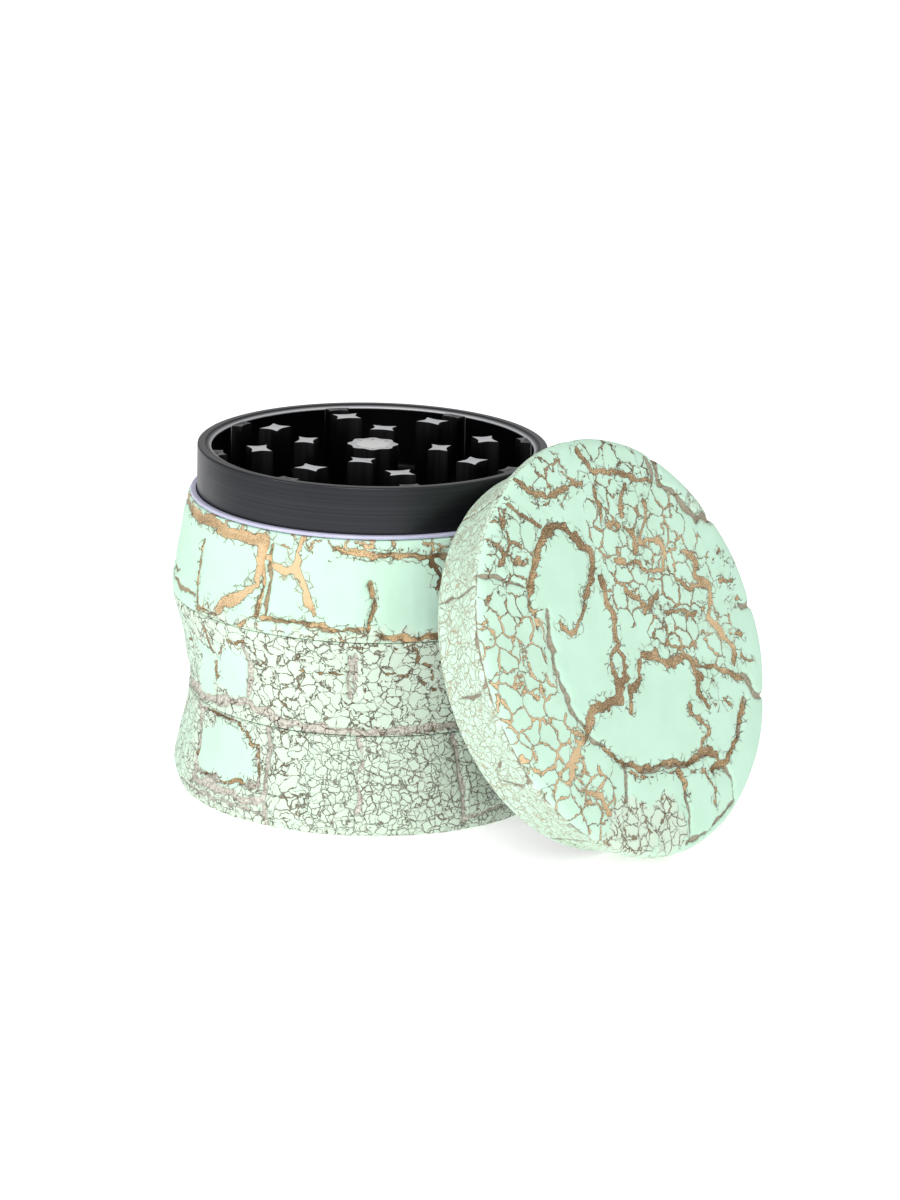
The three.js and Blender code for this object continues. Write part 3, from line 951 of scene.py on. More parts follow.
@dataclass(frozen=True)
class TurnedMetal:
    """Metal with fine lathe lines around its axis and faintly uneven gloss.

    A faced metal reads an attribute: 0 is the inside, painted darker as shade, a little is the outside, and 1 is
    bright cut metal.
    """

    name: str
    colour: Colour
    light: Colour
    metallic: float
    roughness: float
    faced: bool = False
    place: Matrix = Matrix()
    # painted shade: the darker black of the bowl's inside
    inside: Colour = rgb(13, 13, 15)
    cut: Colour = rgb(205, 206, 209)

    def group(self) -> bpy.types.NodeTree:
        """The lathe lines shared by every turned piece.

        Returns:
            A node group that gives a line pattern, a patchy mask and a height.
        """
        known = bpy.data.node_groups.get("lathe_lines")
        if known:
            return known
        w, given, result = new_group("lathe_lines", {"Vector": "Vector"}, ("Lines", "Patches", "Height"))
        apart = w.add("ShaderNodeSeparateXYZ", {0: given["Vector"]}).outputs
        flat = w.add("ShaderNodeCombineXYZ", {0: apart[0], 1: apart[1]}).outputs[0]
        reach = w.add("ShaderNodeVectorMath", {0: flat}, operation="LENGTH").outputs["Value"]
        rings = w.add("ShaderNodeCombineXYZ", {0: reach, 1: apart[2]}).outputs[0]
        lines = w.noise(rings, 5200.0, 2.0, 0.7)
        patches = w.noise(given["Vector"], 130.0, 3.0)
        w.feed(result, {"Lines": lines, "Patches": patches, "Height": w.times(lines, 0.012)})
        return w.tree

    def material(self) -> bpy.types.Material:
        """The metal as a material.

        Returns:
            The material, whose lathe lines run round the place's own axis.
        """
        material, w, shader = new_material(self.name)
        inward = self.place.inverted()
        inputs = {"Vector": w.place(), "Location": inward.to_translation(), "Rotation": inward.to_euler()}
        local = w.add("ShaderNodeMapping", inputs).outputs[0]
        lathe = w.add("ShaderNodeGroup")
        lathe.node_tree = self.group()
        w.feed(lathe, {"Vector": local})
        vary = w.step(lathe.outputs["Lines"], 0.3, 0.7)
        colour = w.blend(w.times(vary, 0.35), self.colour, self.light)
        rough = w.scaled(w.centred(lathe.outputs["Patches"]), 0.22, self.roughness)
        metallic = self.metallic
        if self.faced:
            faced = w.attribute("faced")
            cut = w.step(faced, 0.2, 1.0)
            # painted shade: points left at 0, inside the bowl, take the darker inside colour
            colour = w.blend(w.step(faced, 0.0, 0.15), self.inside, colour)
            colour = w.blend(cut, colour, self.cut)
            rough = w.scaled(cut, 0.06, rough)
            metallic = w.scaled(cut, -0.5, self.metallic)
        bump = w.add("ShaderNodeBump", {"Strength": 0.6, "Distance": MM, "Height": lathe.outputs["Height"]})
        w.feed(shader, {
            "Base Color": colour, "Roughness": rough, "Metallic": metallic, "Normal": bump.outputs["Normal"],
        })
        return material


@dataclass(frozen=True)
class Nylon:
    """Smooth, slightly see-through white plastic."""

    name: str = "white_nylon"
    colour: Colour = rgb(178, 178, 206)
    light: Colour = rgb(206, 206, 226)

    def material(self) -> bpy.types.Material:
        """The plastic as a material.

        Returns:
            The material, with faint clouds in its colour and gloss.
        """
        material, w, shader = new_material(self.name)
        cloud = w.noise(w.place(), 300.0)
        w.feed(shader, {
            "Base Color": w.blend(cloud, self.colour, self.light), "Roughness": w.scaled(cloud, 0.15, 0.28),
            "Subsurface Weight": 0.25, "Subsurface Radius": (0.6, 0.6, 0.7), "Subsurface Scale": MM,
        })
        return material


@dataclass(frozen=True)
class WovenSteel:
    """Stainless wire cloth: crossing wires, with the gaps between them painted dark as the shade seen through the
    openings.
    """

    name: str = "woven_steel"
    pitch: float = 0.45
    # painted shade: the dark seen through the openings between wires
    gap: Colour = rgb(28, 29, 30)
    wire: Colour = rgb(186, 190, 194)

    def material(self) -> bpy.types.Material:
        """The wire cloth as a material.

        Returns:
            The material, with its wires along X and Y.
        """
        material, w, shader = new_material(self.name)
        apart = w.add("ShaderNodeSeparateXYZ", {0: w.place()}).outputs
        turns = math.tau / (self.pitch * MM)
        along, over = (w.sum("SINE", w.times(apart[i], turns)) for i in range(2))
        weave = w.times(*(w.sum("SINE", w.times(apart[i], turns / 2)) for i in range(2)))
        wires = w.sum("MAXIMUM", along, over)
        height = w.scaled(weave, 0.3, wires)
        bump = w.add("ShaderNodeBump", {"Strength": 1.0, "Distance": 0.08 * MM, "Height": height})
        # the gaps between wires get the painted shade colour
        w.feed(shader, {
            "Base Color": w.blend(w.step(wires, -0.4, 0.3), self.gap, self.wire), "Normal": bump.outputs["Normal"],
            "Metallic": 1.0, "Roughness": 0.32,
        })
        return material


# ---- small shapes


def extruded(shell: Shell, height: float) -> list[bmesh.types.BMVert]:
    """Extrudes a flat outline upwards.

    Args:
        shell: a mesh of one face.
        height: how far, in millimetres.

    Returns:
        The raised corners.
    """
    made = bmesh.ops.extrude_face_region(shell, geom=shell.faces[:])["geom"]
    risen = [g for g in made if isinstance(g, bmesh.types.BMVert)]
    bmesh.ops.translate(shell, verts=risen, vec=(0, 0, height * MM))
    bmesh.ops.recalc_face_normals(shell, faces=shell.faces)
    return risen


def block(sides: int, base: float, top: float, shape: Callable[[float, float], Point]) -> Shell:
    """A post with a shaped outline and a softened top edge.

    Args:
        sides: how many sides its outline has.
        base: height of its foot, in millimetres.
        top: height of its top.
        shape: turns a point of the unit circle into a point of the outline, in millimetres.

    Returns:
        The post, on the axis.
    """
    post = bmesh.new()
    bmesh.ops.create_circle(post, cap_ends=True, segments=sides, radius=1.0)
    for vert in post.verts:
        vert.co = Vector((*shape(vert.co.x, vert.co.y), base)) * MM
    risen = extruded(post, top - base)
    post.verts.index_update()
    tops = {v.index for v in risen}
    rim = [e for e in post.edges if e.verts[0].index in tops and e.verts[1].index in tops]
    bmesh.ops.bevel(
        post, geom=rim, offset=0.12 * MM, offset_type="OFFSET", segments=2, profile=0.5,
        affect="EDGES", material=-1,
    )
    return post


def star_block(radial: float, tangential: float, base: float, top: float, hollow: float = 0.27) -> Shell:
    """A four-pointed tooth with hollow sides.

    Args:
        radial: size towards the axis, in millimetres.
        tangential: size across.
        base: height of its foot.
        top: height of its top.
        hollow: how far the sides curve in, as a share of the half size.

    Returns:
        The tooth, on the axis.
    """

    def star(x: float, y: float) -> Point:
        """A point of the star.

        Args:
            x: place across the unit circle.
            y: place up the unit circle.

        Returns:
            The point, in millimetres.
        """
        most, least = max(abs(x), abs(y)), min(abs(x), abs(y))
        reach = (1.0 - hollow * (1.0 - (least / most) ** 2)) / most
        return x * reach * radial / 2, y * reach * tangential / 2

    return block(40, base, top, star)


def lobe_block(width: float, reach: float, base: float, top: float) -> Shell:
    """A half tooth that grows out of a wall with flared sides.

    Args:
        width: its width at the tip, in millimetres.
        reach: how far it stands out of the wall.
        base: height of its foot.
        top: height of its top.

    Returns:
        The lobe, with its tip towards -X and its root past X = 0.
    """

    def lobe(x: float, y: float) -> Point:
        """A point of the lobe.

        Args:
            x: place across the unit circle.
            y: place up the unit circle.

        Returns:
            The point, in millimetres.
        """
        most = max(abs(x), abs(y))
        x, y = x / most, y / most
        inward = (1.0 - x) / 2
        flare = 1.0 + 0.9 * (1.0 - inward) ** 2.2
        tip = -reach + 0.35 * (1.0 - y * y) if x < -0.999 else -reach * inward + 1.0 * (1.0 - inward)
        return tip, y * flare * width / 2

    return block(48, base, top, lobe)


def flower_block(radius: float, ripple: float, petals: int, base: float, top: float) -> Shell:
    """A post with a scalloped outline.

    Args:
        radius: its mean radius, in millimetres.
        ripple: how far the scallops go in and out.
        petals: how many scallops.
        base: height of its foot.
        top: height of its top.

    Returns:
        The post, on the axis.
    """

    def flower(x: float, y: float) -> Point:
        """A point of the flower.

        Args:
            x: place across the unit circle.
            y: place up the unit circle.

        Returns:
            The point, in millimetres.
        """
        angle = math.atan2(y, x)
        r = radius + ripple * math.cos(petals * angle)
        return r * math.cos(angle), r * math.sin(angle)

    return block(96, base, top, flower)


def add_copies(shell: Shell, shape: Shell, radius: float, count: int, phase: float) -> None:
    """Adds copies of a small shape around the axis and frees it.

    Args:
        shell: the mesh that takes them.
        shape: the shape, on the axis.
        radius: how far out they stand, in millimetres.
        count: how many.
        phase: angle of the first from +X, in degrees.
    """
    mould = bpy.data.meshes.new("mould")
    for i in range(count):
        turned = shape.copy()
        angle = math.radians(phase + 360.0 * i / count)
        turned.transform(Matrix.Rotation(angle, 4, "Z") @ Matrix.Translation((radius * MM, 0, 0)))
        turned.to_mesh(mould)
        turned.free()
        shell.from_mesh(mould)
    shape.free()
    bpy.data.meshes.remove(mould)


def add_thread(shell: Shell, radius: float, low: float) -> None:
    """Winds a screw thread round a spigot.

    Args:
        shell: the mesh that takes it.
        radius: the spigot's radius, in millimetres.
        low: height of the thread's lowest point.
    """
    steps = round(120 * THREAD_TURNS)
    root = radius - 0.1
    places = ((root, 0.0), (root, 0.62), (radius + THREAD_HEIGHT, 0.31))
    verts = [shell.verts.new((r * MM, 0, (low + share * THREAD_PITCH) * MM)) for r, share in places]
    face = shell.faces.new(verts)
    bmesh.ops.spin(
        shell, geom=[*verts, *face.edges, face], cent=(0, 0, 0), axis=(0, 0, 1),
        dvec=(0, 0, THREAD_PITCH * THREAD_TURNS * MM / steps), angle=math.tau * THREAD_TURNS, steps=steps,
        use_merge=False,
    )


def drill(piece: Piece, holes: Sequence[tuple[float, float, float, int]], low: float, high: float) -> None:
    """Drills round holes through a plate.

    Args:
        piece: the piece to drill.
        holes: rings of holes: hole radius, ring radius, first angle and count.
        low: height where the drill starts, in millimetres.
        high: height where it ends.
    """
    bits = bmesh.new()
    for bore, ring, phase, count in holes:
        bit = bmesh.new()
        bmesh.ops.create_circle(bit, cap_ends=True, segments=28, radius=bore * MM)
        bmesh.ops.translate(bit, verts=bit.verts, vec=(0, 0, low * MM))
        extruded(bit, high - low)
        add_copies(bits, bit, ring, count, phase)
    cutter = finished("drill_bits", bits)
    cut = piece.modifiers.new("holes", "BOOLEAN")
    cut.operation = "DIFFERENCE"
    cut.solver = "EXACT"
    cut.object = cutter
    ready = piece.evaluated_get(bpy.context.evaluated_depsgraph_get())
    mesh = bpy.data.meshes.new_from_object(ready)
    piece.modifiers.clear()
    piece.data = mesh
    mesh.name = piece.name
    mesh.shade_smooth()
    bpy.data.objects.remove(cutter)


def magnet_disc(name: str, radius: float, low: float, high: float, place: Matrix = Matrix()) -> Piece:
    """A plated disc magnet with a softened edge.

    Args:
        name: the piece's name.
        radius: its radius, in millimetres.
        low: height of its lower face.
        high: height of its upper face.
        place: where it goes.

    Returns:
        The finished piece.
    """
    outline = [(0.0, low, 0.0), (radius, low, 0.18), (radius, high, 0.18), (0.0, high, 0.0)]
    return finished(name, spun(outline, 96, closed=False), place)


def lip(radius: float, height: float, size: float, up: bool) -> list[Point]:
    """Rounded outer corner of a turned skin.

    Args:
        radius: the skin's radius there, in millimetres.
        height: the corner's height.
        size: the rounding's radius.
        up: whether it is a top corner, drawn from the side to the top.

    Returns:
        Its points, drawn upwards.
    """
    sign = -1.0 if up else 1.0
    bends = [math.radians(a) for a in (0, 30, 60, 90)]
    points = [(radius - size + size * math.cos(a), height + sign * (size - size * math.sin(a))) for a in bends]
    return points if up else points[::-1]


# ---- the tiers


@dataclass
class PaintedTier:
    """The painted skin of a tier of the stack, which its black core fills."""

    label: str
    body: str
    knots: list[Point]
    work: StoneWork
    skin: float = 1.2
    rounding: float = 0.28
    steps: int = 600
    grain: float = 0.33

    def outer(self) -> list[Point]:
        """Outline of the skin's outside.

        Returns:
            Radius and height of each point, drawn upwards.
        """
        low, high = self.knots[0], self.knots[-1]
        inner = [(low[0], low[1] + self.rounding), *self.knots[1:-1], (high[0], high[1] - self.rounding)]
        curve = contour(inner, self.grain)
        return lip(*low, self.rounding, False)[:-1] + curve + lip(*high, self.rounding, True)[1:]

    def inner(self) -> list[Corner]:
        """Outline of the skin's inside, which is the core's outside, drawn upwards."""
        return [(r - self.skin, z, 0.0) for r, z in self.knots]

    def build(self, paint: bpy.types.Material) -> None:
        """Builds the painted skin.

        Args:
            paint: its finish.
        """
        outline = [(r, z, 0.0) for r, z in self.outer()] + self.inner()[::-1]
        piece = finished(f"{self.label}_paint", spun(outline, self.steps))
        spots = points_of(piece)
        height = spots[:, 2]
        reach = np.hypot(spots[:, 0], spots[:, 1])
        angle = np.arctan2(spots[:, 0], -spots[:, 1])
        facts = self.work.read(angle * self.work.drum, height, spots)
        side = np.interp(height, [z for _, z in self.knots], [r for r, _ in self.knots])
        ends = np.minimum(height - self.knots[0][1], self.knots[-1][1] - height)
        fade = smooth(side - 0.9, side - 0.55, reach) * (0.35 + 0.65 * smooth(0.1, 0.7, ends))
        grow = (facts["relief"] * fade / reach)[:, None] * np.array([1.0, 1.0, 0.0])
        move_points(piece, spots + spots * grow)
        store(piece, facts)
        settle(piece, paint, self.body, self.body, CRISP_PAINT)


@dataclass
class PollenCatcher:
    """The lowest tier: a shallow bowl that catches the fine powder."""

    top: float = 15.75
    socket: float = 26.8
    depth: float = 3.4
    bowl: float = 25.6
    floor: float = 2.2

    def build(self, paint: bpy.types.Material, black: bpy.types.Material) -> None:
        """Builds the skin and the bowl.

        Args:
            paint: the outside's finish.
            black: the inside's finish.
        """
        knots = [
            (30.2, 0.0), (30.9, 2.2), (31.1, 3.8), (30.7, 6.2), (29.9, 9.8), (29.2, 12.8), (28.95, 14.4),
            (28.9, self.top),
        ]
        work = StoneWork(CATCHER_LINES, Cover.FINE, CATCHER_PATCHES, seed=11, drum=30.4)
        tier = PaintedTier("catcher", "pollen_catcher", knots, work)
        tier.build(paint)
        ledge = self.top - self.depth
        outline = [
            (0.0, 0.5, 0.0), (25.5, 0.5, 0.0), (26.2, 0.0, 0.15), *tier.inner(), (self.socket, self.top, 0.25),
            (self.socket, ledge, 0.1), (self.bowl, ledge, 0.25), (self.bowl, self.floor, 3.4), (0.0, self.floor, 0.0),
        ]
        bowl = finished("catcher_bowl", spun(outline, 192, closed=False))
        settle(bowl, black, "pollen_catcher", "pollen_catcher")


@dataclass
class SieveChamber:
    """The middle tier, which holds the screen and screws into the lowest."""

    low: float = 15.85
    high: float = 31.65
    spigot: float = 26.5
    foot: float = 12.8
    socket: float = 27.6
    bore: float = 25.8
    throat: float = 23.2

    def build(self, paint: bpy.types.Material, black: bpy.types.Material) -> None:
        """Builds the skin and the threaded core.

        Args:
            paint: the outside's finish.
            black: the inside's finish.
        """
        knots = [
            (28.8, self.low), (28.75, 18.2), (29.35, 21.4), (29.9, 25.2), (30.8, 28.6), (31.35, 30.6),
            (31.5, self.high),
        ]
        work = StoneWork(SIEVE_LINES, Cover.CELLS, SIEVE_PATCHES, seed=23, drum=30.0)
        tier = PaintedTier("sieve", "sieve_chamber", knots, work)
        tier.build(paint)
        outline = [
            (self.throat, self.foot, 0.3), (self.spigot, self.foot, 0.35), (self.spigot, self.low, 0.0),
            *tier.inner(), (self.socket, self.high, 0.25), (self.socket, 28.3, 0.1),
            (self.bore, 28.3, 0.3), (self.bore, 18.05, 0.1), (self.throat, 17.3, 0.3),
        ]
        shape = spun(outline, 192)
        add_thread(shape, self.spigot, self.foot + 0.45)
        core = finished("sieve_core", shape)
        settle(core, black, "sieve_chamber", "sieve_chamber")


@dataclass
class SieveInsert:
    """The wire screen and the ring that holds it down."""

    seat: float = 18.1
    reach: float = 25.6
    thick: float = 0.3
    hoop_bore: float = 24.0
    hoop_height: float = 1.75

    def build(self, cloth: bpy.types.Material, bare: bpy.types.Material) -> None:
        """Builds the screen and its ring.

        Args:
            cloth: the wire's finish.
            bare: the ring's finish.
        """
        top = self.seat + self.thick
        sheet = [(0.0, self.seat, 0.0), (self.reach, self.seat, 0.05), (self.reach, top, 0.05), (0.0, top, 0.0)]
        screen = finished("sieve_cloth", spun(sheet, 128, closed=False))
        settle(screen, cloth, "sieve_insert", "sieve_screen")
        low = self.seat + 0.35
        high = low + self.hoop_height
        bore = self.hoop_bore
        hoop = [(bore, low, 0.15), (self.reach, low, 0.15), (self.reach, high, 0.4), (bore, high, 0.4)]
        ring = finished("screen_hoop", spun(hoop, 160))
        settle(ring, bare, "sieve_insert", "screen_retaining_ring")


@dataclass
class GrindingChamber:
    """The upper tier: collar, toothed bowl with drop holes, and the post with its magnet."""

    low: float = 31.75
    shoulder: float = 47.4
    rim: float = 55.5
    collar: float = 27.8
    bowl: float = 25.6
    floor: float = 45.0
    under: float = 42.4
    spigot: float = 27.3
    foot: float = 28.7
    magnet: float = 2.7
    magnet_height: float = 2.0
    lobe_drop: float = 0.42
    holes: tuple[tuple[float, float, float, int], ...] = (
        (1.8, 18.6, 37.0, 8), (1.8, 14.3, 25.75, 8), (1.8, 9.6, 37.0, 4), (1.4, 22.6, 37.0, 8),
    )

    def build(self, paint: bpy.types.Material, black: bpy.types.Material, plate: bpy.types.Material) -> None:
        """Builds the skin, the black body with its teeth, and the magnet.

        Args:
            paint: the outside's finish.
            black: the body's finish.
            plate: the magnet's finish.
        """
        knots = [
            (31.55, self.low), (31.7, 33.8), (31.2, 36.6), (30.4, 40.6), (29.9, 43.6), (29.5, 46.2),
            (29.2, self.shoulder),
        ]
        work = StoneWork(CHAMBER_LINES, Cover.SMOOTH, CHAMBER_PATCHES, seed=37, drum=30.6)
        tier = PaintedTier("chamber", "grinding_chamber", knots, work)
        tier.build(paint)
        outline = [
            (0.0, self.under, 0.0), (25.0, self.under, 0.9), (25.0, self.foot, 0.3), (self.spigot, self.foot, 0.35),
            (self.spigot, self.low, 0.0), *tier.inner()[:-1], (28.1, self.shoulder, 0.0),
            (self.collar, self.shoulder, 0.0), (self.collar, self.rim, 0.28), (26.6, self.rim, 0.06),
            (self.bowl, self.rim - 0.4, 0.1), (self.bowl, self.rim - 0.7, 0.0), (self.bowl, self.floor, 1.0),
            (0.0, self.floor, 0.0),
        ]
        shape = spun(outline, 256, closed=False)
        add_thread(shape, self.spigot, self.foot + 0.45)
        core = finished("chamber_body", shape)
        drill(core, self.holes, self.under - 1.0, self.floor + 1.0)
        self.add_teeth(core)
        self.mark_faced(core)
        settle(core, black, "grinding_chamber", "grinding_chamber")
        disc = magnet_disc("post_magnet", self.magnet, self.rim - self.magnet_height, self.rim - 0.02)
        settle(disc, plate, "grinding_chamber", "chamber_magnet")

    def post(self, foot: float) -> Shell:
        """The centre post, with a shallow recess in its top.

        Args:
            foot: height of its foot, in millimetres.

        Returns:
            The post, on the axis.
        """
        post = flower_block(3.85, 0.26, 8, foot, self.rim)
        top = max(post.faces, key=lambda face: face.calc_center_median().z)
        bmesh.ops.inset_region(post, faces=[top], thickness=1.05 * MM, depth=0.0)
        top = max(post.faces, key=lambda face: (face.calc_center_median().z, face.calc_area()))
        made = bmesh.ops.extrude_face_region(post, geom=[top])["geom"]
        bmesh.ops.delete(post, geom=[top], context="FACES_ONLY")
        lowered = [g for g in made if isinstance(g, bmesh.types.BMVert)]
        bmesh.ops.translate(post, verts=lowered, vec=(0, 0, -0.25 * MM))
        return post

    def add_teeth(self, core: Piece) -> None:
        """Adds teeth, wall lobes and the post.

        Args:
            core: the turned body.
        """
        shell = bmesh.new()
        shell.from_mesh(core.data)
        foot = self.floor - 0.3
        add_copies(shell, star_block(3.5, 4.3, foot, self.rim), 18.4, 8, 14.5)
        add_copies(shell, star_block(3.3, 4.1, foot, self.rim), 10.7, 4, -8.0)
        add_copies(shell, lobe_block(3.0, 1.8, foot, self.rim - self.lobe_drop), self.bowl, 8, 14.5)
        add_copies(shell, self.post(foot), 0.0, 1, 0.0)
        shell.to_mesh(core.data)
        shell.free()
        core.data.shade_smooth()

    def mark_faced(self, core: Piece) -> None:
        """Marks the tops that were cut bright and the collar's outside, which keeps the plain black; unmarked points
        get the painted shade of the inside.

        Args:
            core: the toothed body.
        """
        spots = points_of(core)
        reach = np.hypot(spots[:, 0], spots[:, 1])
        height = spots[:, 2]
        at_rim = height > self.rim - 0.01
        tops = at_rim & (reach < 24.0)
        flat = at_rim & (reach > 24.0)
        lobes = (abs(height - (self.rim - self.lobe_drop)) < 0.01) & (reach > 23.0) & (reach < 25.7)
        edge = (height > self.rim - 0.55) & (reach > self.bowl - 0.02) & (reach < self.bowl + 0.14)
        outside = (reach > self.collar - 0.35) & (height < self.rim - 0.01) & (height > self.shoulder - 1.0)
        faced = tops * 1.0 + lobes * 0.45 + flat * 0.4 + edge * 0.85 + outside * 0.2
        mark_points(core, "faced", np.clip(faced, 0.0, 1.0))


@dataclass
class FrictionRing:
    """The nylon ring round the collar's foot."""

    inner: float = 27.95
    outer: float = 28.85
    low: float = 47.5
    high: float = 48.1

    def build(self, nylon: bpy.types.Material) -> None:
        """Builds the ring.

        Args:
            nylon: its finish.
        """
        outline = [
            (self.inner, self.low, 0.1), (self.outer, self.low, 0.22), (self.outer, self.high, 0.22),
            (self.inner, self.high, 0.1),
        ]
        ring = finished("nylon_ring", spun(outline, 256))
        settle(ring, nylon, "friction_ring", "friction_ring")


# ---- the lid


@dataclass
class Lid:
    """The leaning lid, with its own teeth and magnet inside."""

    tilt: float = 23.0
    turn: float = -39.2
    reach: float = 40.2
    side: float = 1.3
    height: float = 27.71
    bore: float = 28.15
    depth: float = 9.4
    boss_from: float = 7.6
    tooth_tip: float = 0.5
    drum: float = 31.6
    grain: float = 0.33
    steps: int = 576
    side_knots: tuple[Point, ...] = ((30.1, 0.35), (30.5, 2.4), (31.35, 5.6), (32.3, 8.6), (32.85, 10.1))
    face_knots: tuple[Point, ...] = (
        (32.7, 10.95), (31.95, 11.5), (30.4, 11.85), (27.0, 12.15), (22.0, 12.45), (12.0, 12.6), (0.0, 12.6),
    )
    inner_skin: tuple[Corner, ...] = ((28.9, 0.0, 0.0), (30.9, 9.2, 0.0), (30.4, 10.4, 0.0), (0.0, 11.3, 0.0))

    def place(self) -> Matrix:
        """Where the lid's own frame lies: +Z out through its face, +X level, +Y up its face.

        Returns:
            The frame as a matrix, in metres.
        """
        tilt, turn = math.radians(self.tilt), math.radians(self.turn)
        out = Vector((math.cos(turn) * math.cos(tilt), math.sin(turn) * math.cos(tilt), math.sin(tilt)))
        level = Vector((-math.sin(turn), math.cos(turn), 0.0))
        rise = out.cross(level)
        ahead = Vector((math.cos(turn), math.sin(turn), 0.0))
        spot = (ahead * self.reach + level * self.side + Vector((0.0, 0.0, self.height))) * MM
        frame_of_lid = Matrix((level, rise, out)).transposed().to_4x4()
        return Matrix.Translation(spot) @ frame_of_lid

    def build(self, paint: bpy.types.Material, black: bpy.types.Material, plate: bpy.types.Material) -> None:
        """Builds the painted skin, the black inside and the magnet.

        Args:
            paint: the outside's finish.
            black: the inside's finish.
            plate: the magnet's finish.
        """
        place = self.place()
        outer = [(29.8, 0.0), (29.98, 0.06), *contour(self.side_knots + self.face_knots, self.grain)]
        shell = spun([(r, z, 0.0) for r, z in outer] + list(self.inner_skin[::-1]), self.steps)
        skin = finished("lid_paint", shell)
        self.carve(skin)
        skin.data.transform(place)
        settle(skin, paint, "lid", "lid", CRISP_PAINT)
        outline = [(0.0, self.depth, 0.0), (self.bore, self.depth, 0.8), (self.bore, 0.0, 0.3), *self.inner_skin]
        shape = spun(outline, 192, closed=False)
        self.add_teeth(shape)
        core = finished("lid_body", shape, place)
        settle(core, black, "lid", "lid")
        disc = magnet_disc("boss_magnet", 2.6, self.boss_from + 0.02, self.boss_from + 2.0, place)
        settle(disc, plate, "lid_magnet", "lid_magnet")

    def add_teeth(self, shape: Shell) -> None:
        """Hangs the teeth and the centre boss into the lid.

        Args:
            shape: the black inside, in the lid's own frame.
        """
        root = -self.depth - 0.3
        for radial, tangential, radius, count, phase in ((3.5, 4.3, 14.35, 8, 0.0), (3.3, 4.1, 7.0, 4, 20.0)):
            tooth = star_block(radial, tangential, root, -self.tooth_tip)
            tooth.transform(Matrix.Rotation(math.pi, 4, "X"))
            add_copies(shape, tooth, radius, count, phase)
        seat = self.boss_from + 0.4
        boss = [
            (0.0, seat, 0.0), (2.75, seat, 0.0), (2.75, self.boss_from, 0.08), (4.2, self.boss_from, 0.3),
            (4.2, self.depth + 0.3, 0.0),
        ]
        add_copies(shape, spun(boss, 96, closed=False), 0.0, 1, 0.0)

    def carve(self, skin: Piece) -> None:
        """Cuts the stones into the skin and notes how the paint lies.

        Args:
            skin: the turned skin, still in the lid's own frame.
        """
        face_work = StoneWork(LID_FACE_LINES, Cover.SMOOTH, LID_FACE_PATCHES, seed=71, wobble=0.32)
        # painted sheen: the side's crack ground is pushed towards pale gold all round
        side_work = StoneWork(
            LID_SIDE_LINES, Cover.HAIR, LID_SIDE_PATCHES, seed=83, drum=self.drum, tone=0.6, wobble=0.25,
        )
        spots = points_of(skin)
        reach = np.hypot(spots[:, 0], spots[:, 1])
        up = spots[:, 2]
        side_at = np.interp(up, [z for _, z in self.side_knots], [r for r, _ in self.side_knots])
        inwards = self.face_knots[::-1]
        face_at = np.interp(reach, [r for r, _ in inwards], [z for _, z in inwards])
        on_side = smooth(-0.45, -0.2, reach - side_at) * (1.0 - smooth(10.4, 11.0, up))
        on_face = smooth(-0.45, -0.2, up - face_at) * smooth(10.3, 10.9, up)
        face = face_work.read(spots[:, 0], spots[:, 1], spots)
        side = side_work.read(np.arctan2(spots[:, 1], spots[:, 0]) * self.drum, up, spots)
        upper = smooth(10.6, 11.2, up)
        facts = {name: np.where(upper > 0.5, face[name], side[name]) for name in ("joint", "crack")}
        facts["cover"] = face["cover"] * upper[:, None] + side["cover"] * (1 - upper)[:, None]
        outward = spots / np.maximum(reach, 1e-6)[:, None] * np.array([1.0, 1.0, 0.0])
        rim_fade = 0.25 + 0.75 * smooth(0.1, 1.2, up)
        moved = spots + outward * (side["relief"] * on_side * rim_fade)[:, None]
        moved[:, 2] += face["relief"] * on_face
        move_points(skin, moved)
        store(skin, facts)


# ---- the room


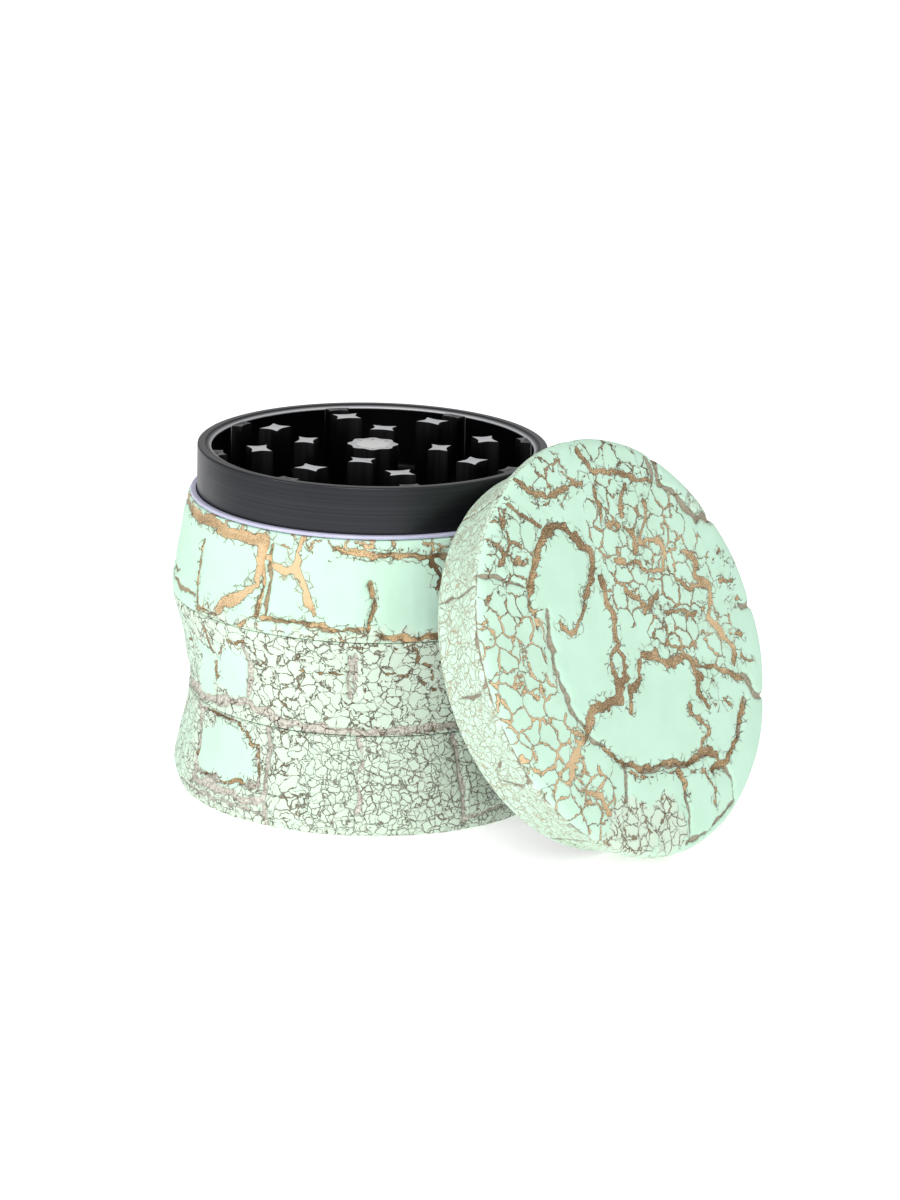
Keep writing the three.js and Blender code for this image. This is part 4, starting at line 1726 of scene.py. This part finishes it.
@dataclass
class Studio:
    """Pale floor, soft lights and the camera."""

    aim: Corner = (12.8, 0.0, 30.0)
    distance: float = 800.0
    elevation: float = 15.97
    roll: float = 1.3
    lens: float = 200.0
    glow: float = 0.5
    surroundings: float = 0.45
    lamps: tuple[tuple[str, Corner, float, float], ...] = (
        ("side_left", (-0.85, -0.5, 0.5), 0.5, 3.0), ("front", (-0.1, -1.0, 0.75), 0.7, 7.2),
        ("side_right", (0.8, -0.7, 0.6), 0.6, 1.3), ("top", (0.0, 0.1, 1.0), 0.8, 1.0),
    )

    def build(self) -> None:
        """Sets up the whole room."""
        self.set_floor()
        self.set_lights()
        self.set_camera()

    def set_floor(self) -> None:
        """Lays the floor."""
        slab = bmesh.new()
        bmesh.ops.create_grid(slab, x_segments=1, y_segments=1, size=6.0)
        floor = finished("floor", slab, Matrix.Translation((0, 0, -0.2 * MM)))
        material, w, shader = new_material("floor_white")
        w.feed(shader, {
            "Base Color": (0.93, 0.93, 0.93, 1.0), "Roughness": 0.9, "Emission Color": (1.0, 1.0, 1.0, 1.0),
            "Emission Strength": self.glow,
        })
        floor.data.materials.append(material)

    def set_lights(self) -> None:
        """Hangs soft square lamps and lights the surroundings."""
        scene = bpy.context.scene
        scene.world = bpy.data.worlds.new("pale_room")
        scene.world.use_nodes = True
        back = scene.world.node_tree.nodes["Background"]
        back.inputs["Color"].default_value = (1.0, 1.0, 1.0, 1.0)
        back.inputs["Strength"].default_value = self.surroundings
        for name, spot, size, power in self.lamps:
            light = bpy.data.lights.new(name, "AREA")
            light.shape = "SQUARE"
            light.size = size
            light.energy = power
            holder = bpy.data.objects.new(name, light)
            scene.collection.objects.link(holder)
            holder.location = spot
            holder.rotation_euler = (Vector((0.01, 0.0, 0.03)) - Vector(spot)).to_track_quat("-Z", "Y").to_euler()
        scene.view_settings.view_transform = "Standard"
        scene.view_settings.look = "None"

    def set_camera(self) -> None:
        """Places the camera."""
        lift = math.radians(self.elevation)
        aim = Vector(self.aim) * MM
        spot = aim + Vector((0.0, -math.cos(lift), math.sin(lift))) * (self.distance * MM)
        camera = bpy.data.cameras.new("camera")
        camera.sensor_fit = "HORIZONTAL"
        camera.sensor_width = 36.0
        camera.lens = self.lens
        camera.clip_start = 0.01
        holder = bpy.data.objects.new("camera", camera)
        bpy.context.scene.collection.objects.link(holder)
        look = (aim - spot).to_track_quat("-Z", "Y").to_matrix().to_4x4()
        holder.matrix_world = Matrix.Translation(spot) @ look @ Matrix.Rotation(math.radians(self.roll), 4, "Z")
        bpy.context.scene.camera = holder


def main() -> None:
    """Builds the grinder, piece by piece, and the room around it."""
    logging.basicConfig(level=logging.INFO, format="%(message)s")
    upper = CracklePaint("mint_upper", 0.75, rgb(180, 150, 112)).material()
    middle = CracklePaint("mint_middle", 0.2).material()
    lower = CracklePaint("mint_lower", 0.25).material()
    top = CracklePaint("mint_lid", 0.4, rgb(176, 160, 140)).material()
    anodised = TurnedMetal("black_anodised", rgb(47, 48, 51), rgb(72, 74, 78), metallic=0.85, roughness=0.36)
    lid = Lid()
    black = anodised.material()
    bowl = replace(anodised, name="black_bowl", faced=True).material()
    black_lid = replace(anodised, name="black_lid", place=lid.place()).material()
    bare = TurnedMetal("bare_aluminium", rgb(196, 198, 200), rgb(220, 221, 223), 1.0, 0.26).material()
    nickel = TurnedMetal("nickel_plate", rgb(236, 236, 234), rgb(246, 246, 244), 0.45, 0.3).material()
    cloth = WovenSteel().material()
    PollenCatcher().build(lower, black)
    SieveChamber().build(middle, black)
    SieveInsert().build(cloth, bare)
    GrindingChamber().build(upper, bowl, nickel)
    FrictionRing().build(Nylon().material())
    lid.build(top, black_lid, nickel)
    Studio().build()


if __name__ == "__main__":
    main()
